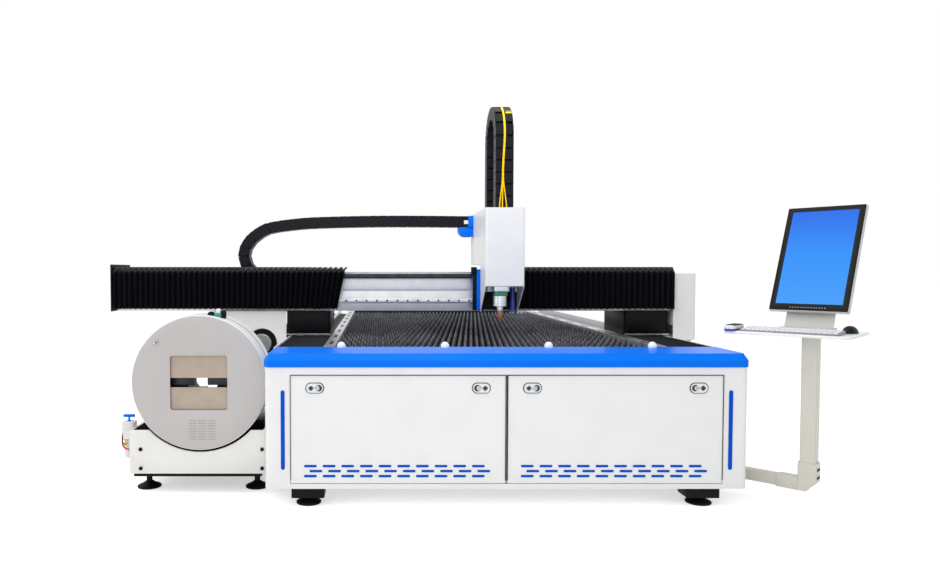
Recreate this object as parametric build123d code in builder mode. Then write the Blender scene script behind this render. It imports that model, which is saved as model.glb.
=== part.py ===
"""Fibre laser cutting machine for sheet and tube: bed with slat table, travelling gantry,
cutting head, side chuck for tubes and an operator console on a swing arm."""

import os
from math import cos, pi, radians, sin, sqrt

from build123d import *

os.makedirs("parts", exist_ok=True)

# Place of the machine: the origin is on the floor under the middle of the whole outline.
# Below, x counts from the bed's centre line, y from the nose's front face and z from the floor.
bed_x = 196.3
front_y = -1994.0

# Fits and gaps shared by all pieces
running_fit = 0.05
slide_gap = 0.3
seam_gap = 0.2
overrun = 5.0

# Sides of the polygons that stand for small plain round bodies
round_sides = 16
small_sides = 10

# Bed: nose cap, front cabinet and box beams
bed_half = 1108.0
bed_length = 4250.0
deck_top = 702.0
body_bottom = 84.0
nose_bottom = 641.0
nose_depth = 306.0
nose_bevel_height = 31.0
nose_bevel_depth = 22.0
nose_corner_r = 40.0
body_inset = 6.0
body_corner_r = 30.0
cabinet_wall = 20.0
bay_mullion_half = 20.0
lip_width = 25.0
lip_mullion_half = 30.0
lip_foot = 23.0
lip_head = 21.0
lip_thickness = 4.0
beam_inset = 258.0
beam_wall = 6.0
rail_bed_z = 630.0
slat_flange = 4.0
rear_beam_depth = 120.0

# Doors, their latches and the rod that both turn on
door_jamb = 117.0
door_opening_low = 107.0
door_opening_high = 606.0
door_recess = 30.0
door_gap = 3.0
door_centre_gap = 12.0
door_thickness = 22.0
door_sheet = 2.0
door_flange = 18.0
door_foot = 16.0
hinge_rod_r = 4.0
hinge_rod_inset = 6.0
hinge_rod_seat = 10.0
vent_length = 58.0
vent_height = 10.0
vent_slant = 5.0
vent_pitch = 85.0
vent_row_pitch = 23.0
vent_row_shift = 25.0
vent_side_margin = 60.0
vent_low_margin = 33.0
vent_rows = 3
latch_length = 80.0
latch_height = 45.0
latch_proud = 4.0
latch_side_margin = 110.0
latch_top_margin = 57.0
latch_key_offset = 17.0
cam_r = 9.0
cam_gap = 0.1
cam_proud = 1.0
cam_socket = 7.0
cam_tongue_length = 48.0
cam_tongue_height = 14.0
cam_tongue_thickness = 4.0
cam_lip_gap = 2.0

# Blue strips beside the doors
strip_gap = 33.0
strip_width = 18.0
strip_low = 172.0
strip_high = 536.0
strip_proud = 2.0

# Equipment in the two bays
bay_side_room = 90.0
laser_height = 330.0
laser_depth = 150.0
laser_edge = 8.0
laser_fan_r = 55.0
laser_fan_depth = 6.0
panel_plate = 6.0
panel_height = 430.0
drive_width = 90.0
drive_height = 220.0
drive_depth = 120.0
drive_pitch = 150.0
drive_count = 5
drive_rise = 60.0

# Slat table and scrap tray
table_start = 330.0
table_rear_gap = 600.0
rail_inset = 308.0
rail_sheet = 4.0
rail_ledge = 30.0
slat_bottom = 594.0
slat_tip = 700.0
slat_thickness = 4.0
slat_end_gap = 4.0
slat_first = 70.0
slat_pitch = 120.0
tooth_count = 10
tooth_height = 42.0
tray_sheet = 4.0
tray_floor_half = 300.0
tray_floor_z = 200.0
tray_edge_z = 430.0

# Ball transfer units along the nose's rear edge
ball_spacing = 510.0
ball_count = 4
ball_y = 284.0
ball_cup_r = 21.0
ball_cup_height = 16.0
ball_r = 15.0
ball_rise = 11.0
ball_taper = 38.0

# Guide rails and racks of the gantry travel
y_rail_inset = 136.0
y_rail_width = 28.0
y_rail_height = 35.0
y_rail_end_gap = 20.0
rack_inset = 63.0
rack_width = 24.0
rack_height = 26.0

# Folded covers over the front stretch of the guide rails
way_low_gap = 3.0
way_crest_drop = 2.0
way_pleat_depth = 12.0
way_pleat_pitch = 30.0
way_end_gap = 2.0

# Levelling feet
foot_inset = 201.0
foot_front_y = 75.0
foot_rear_margin = 80.0
foot_block_width = 152.0
foot_block_depth = 110.0
foot_block_height = 48.0
foot_pad_r = 58.0
foot_pad_height = 12.0
foot_pad_step = 6.0
foot_cone_taper = 62.0
foot_cone_height = 14.0
foot_stem_r = 14.0

# Gantry: legs, beam and guide blocks
leg_inset = 246.0
leg_reach = 12.0
leg_front_y = 959.0
leg_depth = 400.0
leg_corner_r = 30.0
beam_low = 843.0
beam_height = 220.0
beam_front_y = 985.0
beam_depth = 220.0
beam_groove = 8.0
beam_groove_depth = 10.0
beam_groove_shares = (0.32, 0.56)
x_rail_depth = 28.0
x_rail_height = 28.0
x_rail_upper_z = 1048.0
x_rail_lower_z = 904.0
x_rail_end_gap = 10.0
block_width = 90.0
block_length = 120.0
block_low = 640.0
block_end_margin = 28.0

# Ends of the gantry
cap_reach = 1024.0
cap_wall = 8.0
cap_front_y = 915.0
cap_back_y = 1225.0
cap_top = 1115.0
end_cover_reach = 32.0
end_cover_width = 132.0
end_cover_front_y = 945.0
end_cover_back_y = 1400.0
end_cover_low = 675.0
end_cover_wall = 4.0
end_cover_corner_r = 16.0
skirt_outer_reach = 439.0
skirt_inner_reach = 13.0
skirt_low = 560.0
skirt_sheet = 4.0
skirt_chamfer = 110.0
skirt_hole_r = 79.0
skirt_notch_reach = 247.0
skirt_notch_z = 626.0

# Motors of the gantry travel, one outside each leg
left_motor_reach = 154.0
left_motor_z = 655.0
right_motor_reach = 98.0
right_motor_z = 700.0
y_motor_r = 55.0
y_motor_front_y = 950.0
y_motor_length = 210.0
gearbox_length = 110.0
gearbox_half = 48.0
gearbox_top = 748.0

# Folded covers over the beam
bellows_front_y = 925.0
bellows_low = 855.0
bellows_top = 1100.0
bellows_back_y = 1212.0
bellows_wall = 30.0
bellows_pleat_depth = 25.0
bellows_pitch = 34.0
left_bellows_start = -2124.0
left_bellows_end = -772.0
left_bellows_slant = 50.0
right_bellows_start = 232.0

# Cable chains
chain_thickness = 70.0
chain_width = 100.0
chain_link_gap = 0.8
x_chain_pitch = 64.0
x_chain_radius = 181.0
x_chain_y = 1225.0
x_chain_upper_run = 1209.0
x_chain_lower_run = 640.0
trough_wall = 8.0
trough_side_gap = 12.0
trough_height = 85.0
trough_left_reach = 842.0
trough_right_x = 100.0
z_chain_pitch = 48.0
z_chain_radius = 162.0
z_chain_bend_y = 955.0
z_chain_top = 2020.0

# Laser fibre along the outside of the upright chain
fibre_r = 4.0
fibre_spacing = 8.6

# Carriage on the beam, with the head's cover
head_x = 117.0
cover_half = 108.0
cover_front_y = 720.0
cover_low = 995.0
cover_top = 1427.0
cover_back_y = 1335.0
cover_step_z = 1115.0
cover_neck_y = 918.0
cover_skirt_z = 840.0
cover_wall = 4.0
cover_edge_r = 10.0
carriage_front_y = 925.0
carriage_plate = 20.0
carriage_low = 850.0
carriage_high = 1300.0
carriage_block_length = 70.0
carriage_block_height = 62.0
carriage_block_inset = 12.0
carriage_block_gap = 3.0
bridge_half = 56.0
bridge_low = 1119.0
bridge_thickness = 16.0

# Blue brackets of the carriage: one takes the chain, one stands beside the head
chain_bracket_length = 90.0
chain_tab_length = 33.0
chain_bracket_low = 1290.0
chain_bracket_corner_r = 34.0
side_flange_left = -36.0
side_flange_right = 30.0
side_flange_thickness = 6.0
side_flange_low = 850.0
side_flange_high = 1088.0

# Height drive inside the cover
z_rail_half_spacing = 60.0
z_rail_width = 20.0
z_rail_low = 960.0
z_rail_high = 1290.0
z_slide_half = 75.0
z_slide_back_y = 885.0
z_slide_thickness = 25.0
z_motor_half = 40.0
z_motor_low = 1316.0
z_motor_height = 95.0
z_screw_r = 8.0

# Cutting head and nozzle
cut_x = 100.0
cut_y = 785.0
cut_box_half = 40.0
cut_box_top = 1200.0
cut_band_top = 962.0
cut_band_inset = 4.0
cut_body_top = 937.0
cut_body_low = 879.0
cut_body_r = 38.0
cut_holder_r = 17.0
cut_holder_low = 848.0
nozzle_radii = (14.0, 11.0, 6.0)
nozzle_tip_z = 805.0
probe_x = 182.0
probe_r = 12.0
probe_low = 842.0
probe_high = 985.0

# Tube chuck beside the bed
chuck_reach = 337.0
chuck_z = 540.0
drum_r = 325.0
drum_wall = 15.0
drum_front_y = 196.0
drum_depth = 194.0
drum_back = 18.0
drum_sides = 24
rim_sides = 64
cover_disc_thickness = 6.0
cover_disc_inset = 4.0
window_width = 275.0
window_height = 263.0
window_corner_r = 18.0
lock_offset_x = -203.0
lock_offset_z = 196.0
lock_r = 12.0
lock_proud = 6.0
spindle_r = 90.0
spindle_bore_r = 75.0
face_plate_r = 285.0
face_plate_front_y = 275.0
face_plate_thickness = 25.0
pulley_r = 140.0
pulley_gap = 6.0
pulley_width = 34.0

# Jaws of the chuck: the plates close on a tube from above and below, the blocks from the sides
jaw_plate_half = 142.0
jaw_plate_height = 128.0
jaw_plate_thickness = 8.0
jaw_plate_gap = 7.0
jaw_gap_half = 23.0
jaw_block_half = 35.0
jaw_block_height = 118.0
jaw_block_depth = 29.0
jaw_foot_start = 80.0
side_jaw_gap_half = 30.0
side_jaw_length = 120.0
side_jaw_half = 18.0
side_jaw_depth = 31.0

# Base of the chuck
base_left_reach = 677.0
base_right_reach = 22.0
base_front_y = 202.0
base_plate = 12.0
base_plate_top = 309.0
base_low = 103.0
base_top = 198.0
base_depth = 560.0
base_plinth = 17.0
base_plinth_inset = 24.0
base_cut_gap = 12.0
saddle_half = 190.0
saddle_front_gap = 30.0
saddle_depth = 140.0
tie_depth = 60.0
tie_low = 110.0
tie_high = 180.0
tie_places = (420.0, 640.0)
base_foot_inset_x = 58.0
base_foot_front = 119.0
base_foot_rear = 70.0
chuck_motor_reach = 132.0
chuck_motor_half = 55.0
chuck_motor_start_y = 452.0
chuck_motor_length = 190.0
chuck_motor_edge = 10.0

# Air service unit at the base's left side, and the elbow on the drum
air_reach = 710.0
air_y = 300.0
air_low = 150.0
air_bowl_r = 26.0
air_bowl_height = 110.0
air_head_half = 32.0
air_head_height = 74.0
air_bracket_height = 40.0
lever_stem_r = 8.0
lever_stem_height = 20.0
lever_length = 58.0
lever_width = 16.0
lever_height = 14.0
elbow_offset_x = 75.0
elbow_y = 260.0
elbow_half_x = 46.0
elbow_half_y = 16.0
elbow_height = 30.0

# Console: stand on a swing arm, tray and monitor
console_reach = 260.0
console_y = -10.0
console_yaw = 44.8
arm_length = 308.5
arm_width = 50.0
arm_low = 85.0
arm_height = 50.0
arm_eye_r = 32.0
pivot_r = 14.0
bracket_plate = 8.0
bracket_half = 60.0
bracket_lug_half = 32.0
bracket_rise = 17.0
column_width = 64.0
column_corner_r = 8.0
sleeve_width = 76.0
sleeve_height = 128.0
elbow_chamfer = 40.0
tray_top = 802.0
tray_thickness = 12.0
tray_left = -316.5
tray_right = 186.5
tray_front = -184.0
tray_back = 193.0
tray_corner_r = 24.0
monitor_swivel = 6.0
monitor_tilt = 23.4
monitor_offset_x = -63.5
monitor_offset_y = 171.0
monitor_rise = 89.0
monitor_width = 340.0
monitor_height = 548.0
monitor_thickness = 28.0
bezel_width = 19.0
bezel_foot = 30.0
screen_depth = 3.0
stand_half = 105.0
stand_plate = 8.0
stand_back_gap = 22.0
stand_reach = 118.0
stand_base_depth = 150.0
tilt_axis_up = 138.0
tilt_axis_back = 14.0
tilt_pin_r = 6.0
tilt_ear_r = 12.5
tilt_ear_start = 60.0
tilt_ear_thickness = 10.0
tilt_boss_half = 14.0
tilt_boss_back = 12.0
keyboard_x = -59.5
keyboard_y = -94.0
keyboard_length = 396.0
keyboard_width = 128.0
keyboard_height = 20.0
keyboard_slope = 9.0
key_field_inset = 8.0
key_rows = 5
key_row_gap = 3.0
key_rise = 3.0
mouse_x = 140.5
mouse_y = 34.0
mouse_length = 104.0
mouse_width = 62.0
mouse_height = 34.0
mouse_corner = 18.0
mouse_taper = 22.0
pendant_x = -289.5
pendant_y = -122.0
pendant_length = 150.0
pendant_width = 46.0
pendant_height = 26.0

# Values that follow from those above
body_half = bed_half - body_inset
beam_inner_x = bed_half - beam_inset
rail_inner_x = bed_half - rail_inset
y_rail_x = bed_half - y_rail_inset
rack_x = bed_half - rack_inset
foot_x = bed_half - foot_inset
leg_inner_x = bed_half - leg_inset
leg_outer_x = bed_half + leg_reach
cap_outer_x = bed_half + cap_reach
end_cover_x = bed_half + end_cover_reach
skirt_outer_x = bed_half + skirt_outer_reach
skirt_inner_x = bed_half + skirt_inner_reach
left_motor_x = -bed_half - left_motor_reach
right_motor_x = bed_half + right_motor_reach
skirt_notch_x = -bed_half - skirt_notch_reach
console_x = bed_half + console_reach
trough_left_x = -bed_half - trough_left_reach
chuck_x = -bed_half - chuck_reach
base_left_x = -bed_half - base_left_reach
base_right_x = -bed_half - base_right_reach
chuck_motor_x = -bed_half - chuck_motor_reach
air_x = -bed_half - air_reach
door_opening_half = body_half - door_jamb
strip_x = door_opening_half + strip_gap
lip_opening_half = door_opening_half - lip_width
lip_low = door_opening_low + lip_foot
lip_high = door_opening_high - lip_head
table_length = bed_length - rear_beam_depth - table_rear_gap - table_start
slat_count = int((table_length - 2 * slat_first) / slat_pitch) + 1
lip_top = deck_top - slat_flange
table_end = table_start + table_length
leg_back_y = leg_front_y + leg_depth
beam_top = beam_low + beam_height
beam_back_y = beam_front_y + beam_depth
cap_inner_x = cap_outer_x - cap_wall
cover_left = head_x - cover_half
cover_right = head_x + cover_half
hinge_y = body_inset + hinge_rod_inset
door_low = door_opening_low + door_gap
door_high = door_opening_high - door_gap
hinge_z = door_low + hinge_rod_inset
door_inner_x = door_centre_gap / 2
door_outer_x = door_opening_half - door_gap
vent_run = door_outer_x - door_inner_x - 2 * vent_side_margin - vent_row_shift - vent_length
vent_columns = int(vent_run / vent_pitch) + 1
latch_z = door_high - latch_top_margin
drum_back_y = drum_front_y + drum_depth
lip_y = body_inset + door_recess
bay_y = lip_y + lip_thickness
bay_back_y = nose_depth - cabinet_wall
bay_floor = body_bottom + cabinet_wall
bay_outer_x = body_half - cabinet_wall

# Working planes: plan seen from above, front seen by the operator, side seen from the right
plan = Plane(origin=(bed_x, front_y, 0))
front = Plane(origin=(bed_x, front_y, 0), x_dir=(1, 0, 0), z_dir=(0, -1, 0))
side = Plane(origin=(bed_x, front_y, 0), x_dir=(0, 1, 0), z_dir=(1, 0, 0))


def area(x_a, x_b, y_a, y_b, mode=Mode.ADD):
    """Rectangle between two limits each way, in the open sketch."""
    with Locations(((x_a + x_b) / 2, (y_a + y_b) / 2)):
        Rectangle(abs(x_b - x_a), abs(y_b - y_a), mode=mode)


def save(piece, name):
    """Label a finished piece and write its file."""
    piece.part.label = name
    export_step(piece.part, f"parts/{name}.step")


def pleats(start, end, pitch, crest, valley, back):
    """Points of a folded cover in section: a zigzag from start to end, closed along its back."""
    count = round((end - start) / pitch)
    step = (end - start) / count
    points = [(start, valley)]
    for number in range(count):
        points.append((start + (number + 1 / 2) * step, crest))
        points.append((start + (number + 1) * step, valley))
    return points + [(end, back), (start, back)]


def chain_links(first_run, second_run, radius, pitch):
    """Outlines of a chain's links: two runs along +a, joined by a half turn about the origin."""
    inner = radius - chain_thickness / 2
    outer = radius + chain_thickness / 2
    links = []
    for run, row in ((first_run, 1), (second_run, -1)):
        count = round(run / pitch)
        step = run / count
        for number in range(count):
            low = number * step + chain_link_gap / 2
            high = (number + 1) * step - chain_link_gap / 2
            links.append([(low, row * inner), (high, row * inner), (high, row * outer), (low, row * outer)])
    bend_count = round(pi * radius / pitch)
    spare = chain_link_gap / inner / 2
    for number in range(bend_count):
        start = pi / 2 + number * pi / bend_count + spare
        end = pi / 2 + (number + 1) * pi / bend_count - spare
        links.append([
            (inner * cos(start), inner * sin(start)),
            (outer * cos(start), outer * sin(start)),
            (outer * cos(end), outer * sin(end)),
            (inner * cos(end), inner * sin(end)),
        ])
    return links


# Nose cap: the blue beam along the bed's front edge, bevelled along the front and sides
with BuildPart() as nose_cap:
    with BuildSketch(plan.offset(nose_bottom)):
        area(-bed_half, bed_half, 0, nose_depth)
    extrude(amount=deck_top - nose_bottom)
    fillet(nose_cap.edges().filter_by(Axis.Z).group_by(Axis.Y)[0], nose_corner_r)
    nose_top = nose_cap.faces().sort_by(Axis.Z)[-1]
    chamfer(nose_top.edges().sort_by(Axis.Y)[:-1], nose_bevel_depth, nose_bevel_height, reference=nose_top)
save(nose_cap, "nose_cap")

# Front cabinet: a welded shell with a recess for the doors and two equipment bays behind a lip
with BuildPart() as front_cabinet:
    with BuildSketch(plan.offset(body_bottom)):
        area(-body_half, body_half, body_inset, nose_depth)
    extrude(amount=nose_bottom - body_bottom)
    fillet(front_cabinet.edges().filter_by(Axis.Z).group_by(Axis.Y)[0], body_corner_r)
    with BuildSketch(front.offset(-body_inset)):
        area(-door_opening_half, door_opening_half, door_opening_low, door_opening_high)
    extrude(amount=-door_recess, mode=Mode.SUBTRACT)
    with BuildSketch(front.offset(-lip_y)):
        area(-lip_opening_half, -lip_mullion_half, lip_low, lip_high)
        area(lip_mullion_half, lip_opening_half, lip_low, lip_high)
    extrude(amount=-lip_thickness, mode=Mode.SUBTRACT)
    with BuildSketch(front.offset(-bay_y)):
        area(-bay_outer_x, -bay_mullion_half, bay_floor, nose_bottom - cabinet_wall)
        area(bay_mullion_half, bay_outer_x, bay_floor, nose_bottom - cabinet_wall)
    extrude(amount=-(bay_back_y - bay_y), mode=Mode.SUBTRACT)
    with BuildSketch(side.offset(-door_opening_half - hinge_rod_seat)):
        with Locations((hinge_y, hinge_z)):
            RegularPolygon(hinge_rod_r + running_fit, small_sides, major_radius=False)
    extrude(amount=2 * (door_opening_half + hinge_rod_seat), mode=Mode.SUBTRACT)
save(front_cabinet, "front_cabinet")

# Hinge rod: one steel rod through the feet of both doors, seated in the cabinet's jambs
with BuildPart() as door_hinge_rod:
    with BuildSketch(side.offset(-door_opening_half - hinge_rod_seat)):
        with Locations((hinge_y, hinge_z)):
            RegularPolygon(hinge_rod_r, small_sides)
    extrude(amount=2 * (door_opening_half + hinge_rod_seat))
save(door_hinge_rod, "door_hinge_rod")


def vent_outline():
    """One punched vent slot, its ends cut on the slant."""
    half = vent_length / 2
    rise = vent_height / 2
    return [(-half, -rise), (vent_slant - half, rise), (half, rise), (half - vent_slant, -rise)]


def latch_outline():
    """Oval latch plate, its round ends in four facets each."""
    radius = latch_height / 2
    reach = latch_length / 2 - radius
    turns = [pi / 4 * step - pi / 2 for step in range(5)]
    right = [(reach + radius * cos(turn), radius * sin(turn)) for turn in turns]
    return right + [(-x, -y) for x, y in right]


def latch_places(hand):
    """Centres of one door's two latches along x; hand is -1 for the left door, 1 for the right."""
    return (hand * (door_inner_x + latch_side_margin), hand * (door_outer_x - latch_side_margin))


def key_place(latch_x, hand):
    """Centre of a latch's key barrel, towards the door's near edge."""
    middle = hand * (door_inner_x + door_outer_x) / 2
    return latch_x + (latch_key_offset if latch_x > middle else -latch_key_offset)


def make_door(hand):
    """One drop-down door: a folded pan with three rows of vents and two oval latch plates."""
    low, high = sorted((hand * door_inner_x, hand * door_outer_x))
    with BuildPart() as door:
        with BuildSketch(front.offset(-body_inset)):
            area(low, high, door_low, door_high)
        extrude(amount=-door_thickness)
        with BuildSketch(front.offset(-body_inset - door_sheet)):
            area(low + door_flange, high - door_flange, door_low + door_foot, door_high - door_flange)
        extrude(amount=-door_thickness, mode=Mode.SUBTRACT)
        with BuildSketch(front.offset(-body_inset)):
            for row in range(vent_rows):
                for column in range(vent_columns):
                    shift = vent_row_shift * (row % 2)
                    vent_x = low + vent_side_margin + vent_length / 2 + shift + column * vent_pitch
                    with Locations((vent_x, door_low + vent_low_margin + row * vent_row_pitch)):
                        Polygon(*vent_outline(), align=None)
        extrude(amount=-door_sheet, mode=Mode.SUBTRACT)
        with BuildSketch(front.offset(-body_inset)):
            for latch_x in latch_places(hand):
                with Locations((latch_x, latch_z)):
                    Polygon(*latch_outline(), align=None)
        extrude(amount=latch_proud)
        with BuildSketch(front.offset(latch_proud)):
            for latch_x in latch_places(hand):
                with Locations((key_place(latch_x, hand), latch_z)):
                    RegularPolygon(cam_r + cam_gap, round_sides, major_radius=False)
        extrude(amount=-door_thickness, mode=Mode.SUBTRACT)
        with BuildSketch(side.offset(low)):
            with Locations((hinge_y, hinge_z)):
                RegularPolygon(hinge_rod_r + running_fit, small_sides, major_radius=False)
        extrude(amount=high - low, mode=Mode.SUBTRACT)
    return door


def make_cam(latch_x, hand):
    """One latch cam: a key barrel with a square socket and a tongue behind the cabinet's lip."""
    key_x = key_place(latch_x, hand)
    towards = 1 if key_x < latch_x else -1
    tongue_y = bay_y + cam_lip_gap
    with BuildPart() as cam:
        with BuildSketch(front.offset(latch_proud + cam_proud - body_inset)):
            with Locations((key_x, latch_z)):
                RegularPolygon(cam_r, round_sides)
        extrude(amount=-(latch_proud + cam_proud - body_inset + tongue_y + cam_tongue_thickness))
        with BuildSketch(front.offset(-tongue_y)):
            area(key_x, key_x + towards * cam_tongue_length,
                 latch_z - cam_tongue_height / 2, latch_z + cam_tongue_height / 2)
        extrude(amount=-cam_tongue_thickness)
        with BuildSketch(front.offset(latch_proud + cam_proud - body_inset)):
            with Locations((key_x, latch_z)):
                Rectangle(cam_socket, cam_socket, rotation=45)
        extrude(amount=-latch_proud, mode=Mode.SUBTRACT)
    return cam


for hand, door_name in ((-1, "left"), (1, "right")):
    save(make_door(hand), f"{door_name}_door")
    for latch_x, place_name in zip(latch_places(hand), ("inner", "outer")):
        save(make_cam(latch_x, hand), f"{door_name}_door_{place_name}_cam")

# Blue strips on the cabinet's front, beside the doors
with BuildPart() as side_strips:
    with BuildSketch(front.offset(-body_inset)):
        for hand in (-1, 1):
            area(hand * strip_x - strip_width / 2, hand * strip_x + strip_width / 2, strip_low, strip_high)
    extrude(amount=strip_proud)
save(side_strips, "side_strips")

# Laser source: a rack case in the left bay, with two fan recesses in its front
with BuildPart() as laser_source:
    laser_left = -bay_outer_x + bay_side_room
    laser_right = -bay_mullion_half - bay_side_room
    laser_y = bay_back_y - laser_depth
    with BuildSketch(front.offset(-laser_y)):
        area(laser_left, laser_right, bay_floor, bay_floor + laser_height)
    extrude(amount=-laser_depth)
    chamfer(laser_source.edges().filter_by(Axis.Y), laser_edge)
    with BuildSketch(front.offset(-laser_y)):
        with Locations(((laser_left + laser_right) / 2, bay_floor + laser_height / 2)):
            with GridLocations((laser_right - laser_left) / 2, 1, 2, 1):
                RegularPolygon(laser_fan_r, round_sides)
    extrude(amount=-laser_fan_depth, mode=Mode.SUBTRACT)
save(laser_source, "laser_source")

# Electrics panel: a mounting plate on the right bay's back wall, with a row of drive units
with BuildPart() as electrics_panel:
    panel_left = bay_mullion_half + bay_side_room
    panel_right = bay_outer_x - bay_side_room
    with BuildSketch(front.offset(-bay_back_y)):
        area(panel_left, panel_right, bay_floor, bay_floor + panel_height)
    extrude(amount=panel_plate)
    with BuildSketch(front.offset(panel_plate - bay_back_y)):
        drives_z = bay_floor + drive_rise + drive_height / 2
        with Locations(((panel_left + panel_right) / 2, drives_z)):
            with GridLocations(drive_pitch, 1, drive_count, 1):
                Rectangle(drive_width, drive_height)
    extrude(amount=drive_depth)
save(electrics_panel, "electrics_panel")

# Bed beams: two box beams with an open channel for the guide rail on top, and the rear beam
with BuildPart() as bed_beams:
    with BuildSketch(front.offset(-nose_depth)):
        for hand in (-1, 1):
            area(hand * beam_inner_x, hand * body_half, body_bottom, rail_bed_z)
            area(hand * beam_inner_x, hand * (beam_inner_x + beam_wall), rail_bed_z, lip_top)
            area(hand * (body_half - beam_wall), hand * body_half, rail_bed_z, lip_top)
    extrude(amount=-(bed_length - nose_depth))
    with BuildSketch(plan.offset(body_bottom)):
        area(-beam_inner_x + seam_gap, beam_inner_x - seam_gap, bed_length - rear_beam_depth, bed_length)
    extrude(amount=lip_top - body_bottom)
save(bed_beams, "bed_beams")

# Slat rails: folded Z strips along the table, flange on the beam's lip and ledge under the slats
with BuildPart() as slat_rails:
    with BuildSketch(front.offset(-table_start)):
        for hand in (-1, 1):
            area(hand * rail_inner_x, hand * (beam_inner_x + beam_wall), lip_top, deck_top)
            area(hand * rail_inner_x, hand * (rail_inner_x + rail_sheet), slat_bottom - rail_sheet, deck_top)
            area(hand * (rail_inner_x - rail_ledge), hand * (rail_inner_x + rail_sheet),
                 slat_bottom - rail_sheet, slat_bottom)
    extrude(amount=-table_length)
save(slat_rails, "slat_rails")

# Slats: saw-toothed plates across the table, each on both ledges
slat_half = rail_inner_x - slat_end_gap
tooth_pitch = 2 * slat_half / tooth_count
slat_outline = [(-slat_half, slat_tip - tooth_height)]
for tooth in range(tooth_count):
    slat_outline.append((-slat_half + (tooth + 1 / 2) * tooth_pitch, slat_tip))
    slat_outline.append((-slat_half + (tooth + 1) * tooth_pitch, slat_tip - tooth_height))
slat_outline += [(slat_half, slat_bottom), (-slat_half, slat_bottom)]
slat_planes = [front.offset(-table_start - slat_first - number * slat_pitch) for number in range(slat_count)]
with BuildPart() as slats:
    with BuildSketch(*slat_planes):
        Polygon(*slat_outline, align=None)
    extrude(amount=-slat_thickness)
save(slats, "slats")

# Scrap tray: one folded sheet under the slats, from beam to beam
tray_half = beam_inner_x
tray_outline = [
    (-tray_half, tray_edge_z), (-tray_floor_half, tray_floor_z), (tray_floor_half, tray_floor_z),
    (tray_half, tray_edge_z), (tray_half, tray_edge_z - tray_sheet),
    (tray_floor_half, tray_floor_z - tray_sheet), (-tray_floor_half, tray_floor_z - tray_sheet),
    (-tray_half, tray_edge_z - tray_sheet),
]
with BuildPart() as scrap_tray:
    with BuildSketch(front.offset(-nose_depth)):
        Polygon(*tray_outline, align=None)
    extrude(amount=-(bed_length - rear_beam_depth - nose_depth))
save(scrap_tray, "scrap_tray")

# Ball transfer units: round cups on the nose, each with its ball standing proud
with BuildPart() as ball_transfers:
    ball_row = (ball_count - 1) * ball_spacing / 2
    ball_places = [(number * ball_spacing - ball_row, ball_y) for number in range(ball_count)]
    with BuildSketch(plan.offset(deck_top)):
        with Locations(*ball_places):
            RegularPolygon(ball_cup_r, round_sides)
    extrude(amount=ball_cup_height)
    with BuildSketch(plan.offset(deck_top + ball_cup_height)):
        with Locations(*ball_places):
            RegularPolygon(ball_r, round_sides)
    extrude(amount=ball_rise, taper=ball_taper)
save(ball_transfers, "ball_transfers")

# Guide rails and racks of the gantry travel, on the beams
with BuildPart() as y_rails:
    with BuildSketch(front.offset(-nose_depth)):
        for hand in (-1, 1):
            area(hand * y_rail_x - y_rail_width / 2, hand * y_rail_x + y_rail_width / 2,
                 rail_bed_z, rail_bed_z + y_rail_height)
            area(hand * rack_x - rack_width / 2, hand * rack_x + rack_width / 2,
                 rail_bed_z, rail_bed_z + rack_height)
    extrude(amount=-(bed_length - nose_depth - y_rail_end_gap))
save(y_rails, "y_rails")

# Way covers: folded covers over the rails, from the nose to the gantry's legs
way_low = rail_bed_z + y_rail_height + way_low_gap
way_crest = deck_top - way_crest_drop
way_outline = pleats(nose_depth + way_end_gap, leg_front_y - way_end_gap, way_pleat_pitch,
                     way_crest, way_crest - way_pleat_depth, way_low)
way_inner_x = beam_inner_x + beam_wall + slide_gap
way_outer_x = body_half - beam_wall - slide_gap
with BuildPart() as way_covers:
    with BuildSketch(side.offset(way_inner_x), side.offset(-way_outer_x)):
        Polygon(*way_outline, align=None)
    extrude(amount=way_outer_x - way_inner_x)
save(way_covers, "way_covers")

# Levelling feet: a block under the bed, a stem and a cone-topped pad; the chuck's base has pads alone
foot_rear_y = bed_length - foot_rear_margin
bed_feet = [(hand * foot_x, y) for hand in (-1, 1) for y in (foot_front_y, (foot_front_y + foot_rear_y) / 2)]
bed_feet += [(-foot_x, foot_rear_y), (foot_x, foot_rear_y)]
base_back_y = base_front_y + base_depth
base_feet = [(x, y) for x in (base_left_x + base_foot_inset_x, base_right_x - base_foot_inset_x)
             for y in (base_front_y + base_foot_front, base_back_y - base_foot_rear)]
with BuildPart() as levelling_feet:
    with BuildSketch(plan):
        with Locations(*bed_feet, *base_feet):
            RegularPolygon(foot_pad_r, small_sides)
    extrude(amount=foot_pad_height)
    with BuildSketch(plan.offset(foot_pad_height)):
        with Locations(*bed_feet, *base_feet):
            RegularPolygon(foot_pad_r - foot_pad_step, small_sides)
    extrude(amount=foot_cone_height, taper=foot_cone_taper)
    for spots, stem_top in ((bed_feet, body_bottom - foot_block_height), (base_feet, base_low - base_plinth)):
        with BuildSketch(plan.offset(foot_pad_height)):
            with Locations(*spots):
                RegularPolygon(foot_stem_r, 6)
        extrude(amount=stem_top - foot_pad_height)
    with BuildSketch(plan.offset(body_bottom - foot_block_height)):
        with Locations(*bed_feet):
            Rectangle(foot_block_width, foot_block_depth)
    extrude(amount=foot_block_height)
save(levelling_feet, "levelling_feet")

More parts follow.
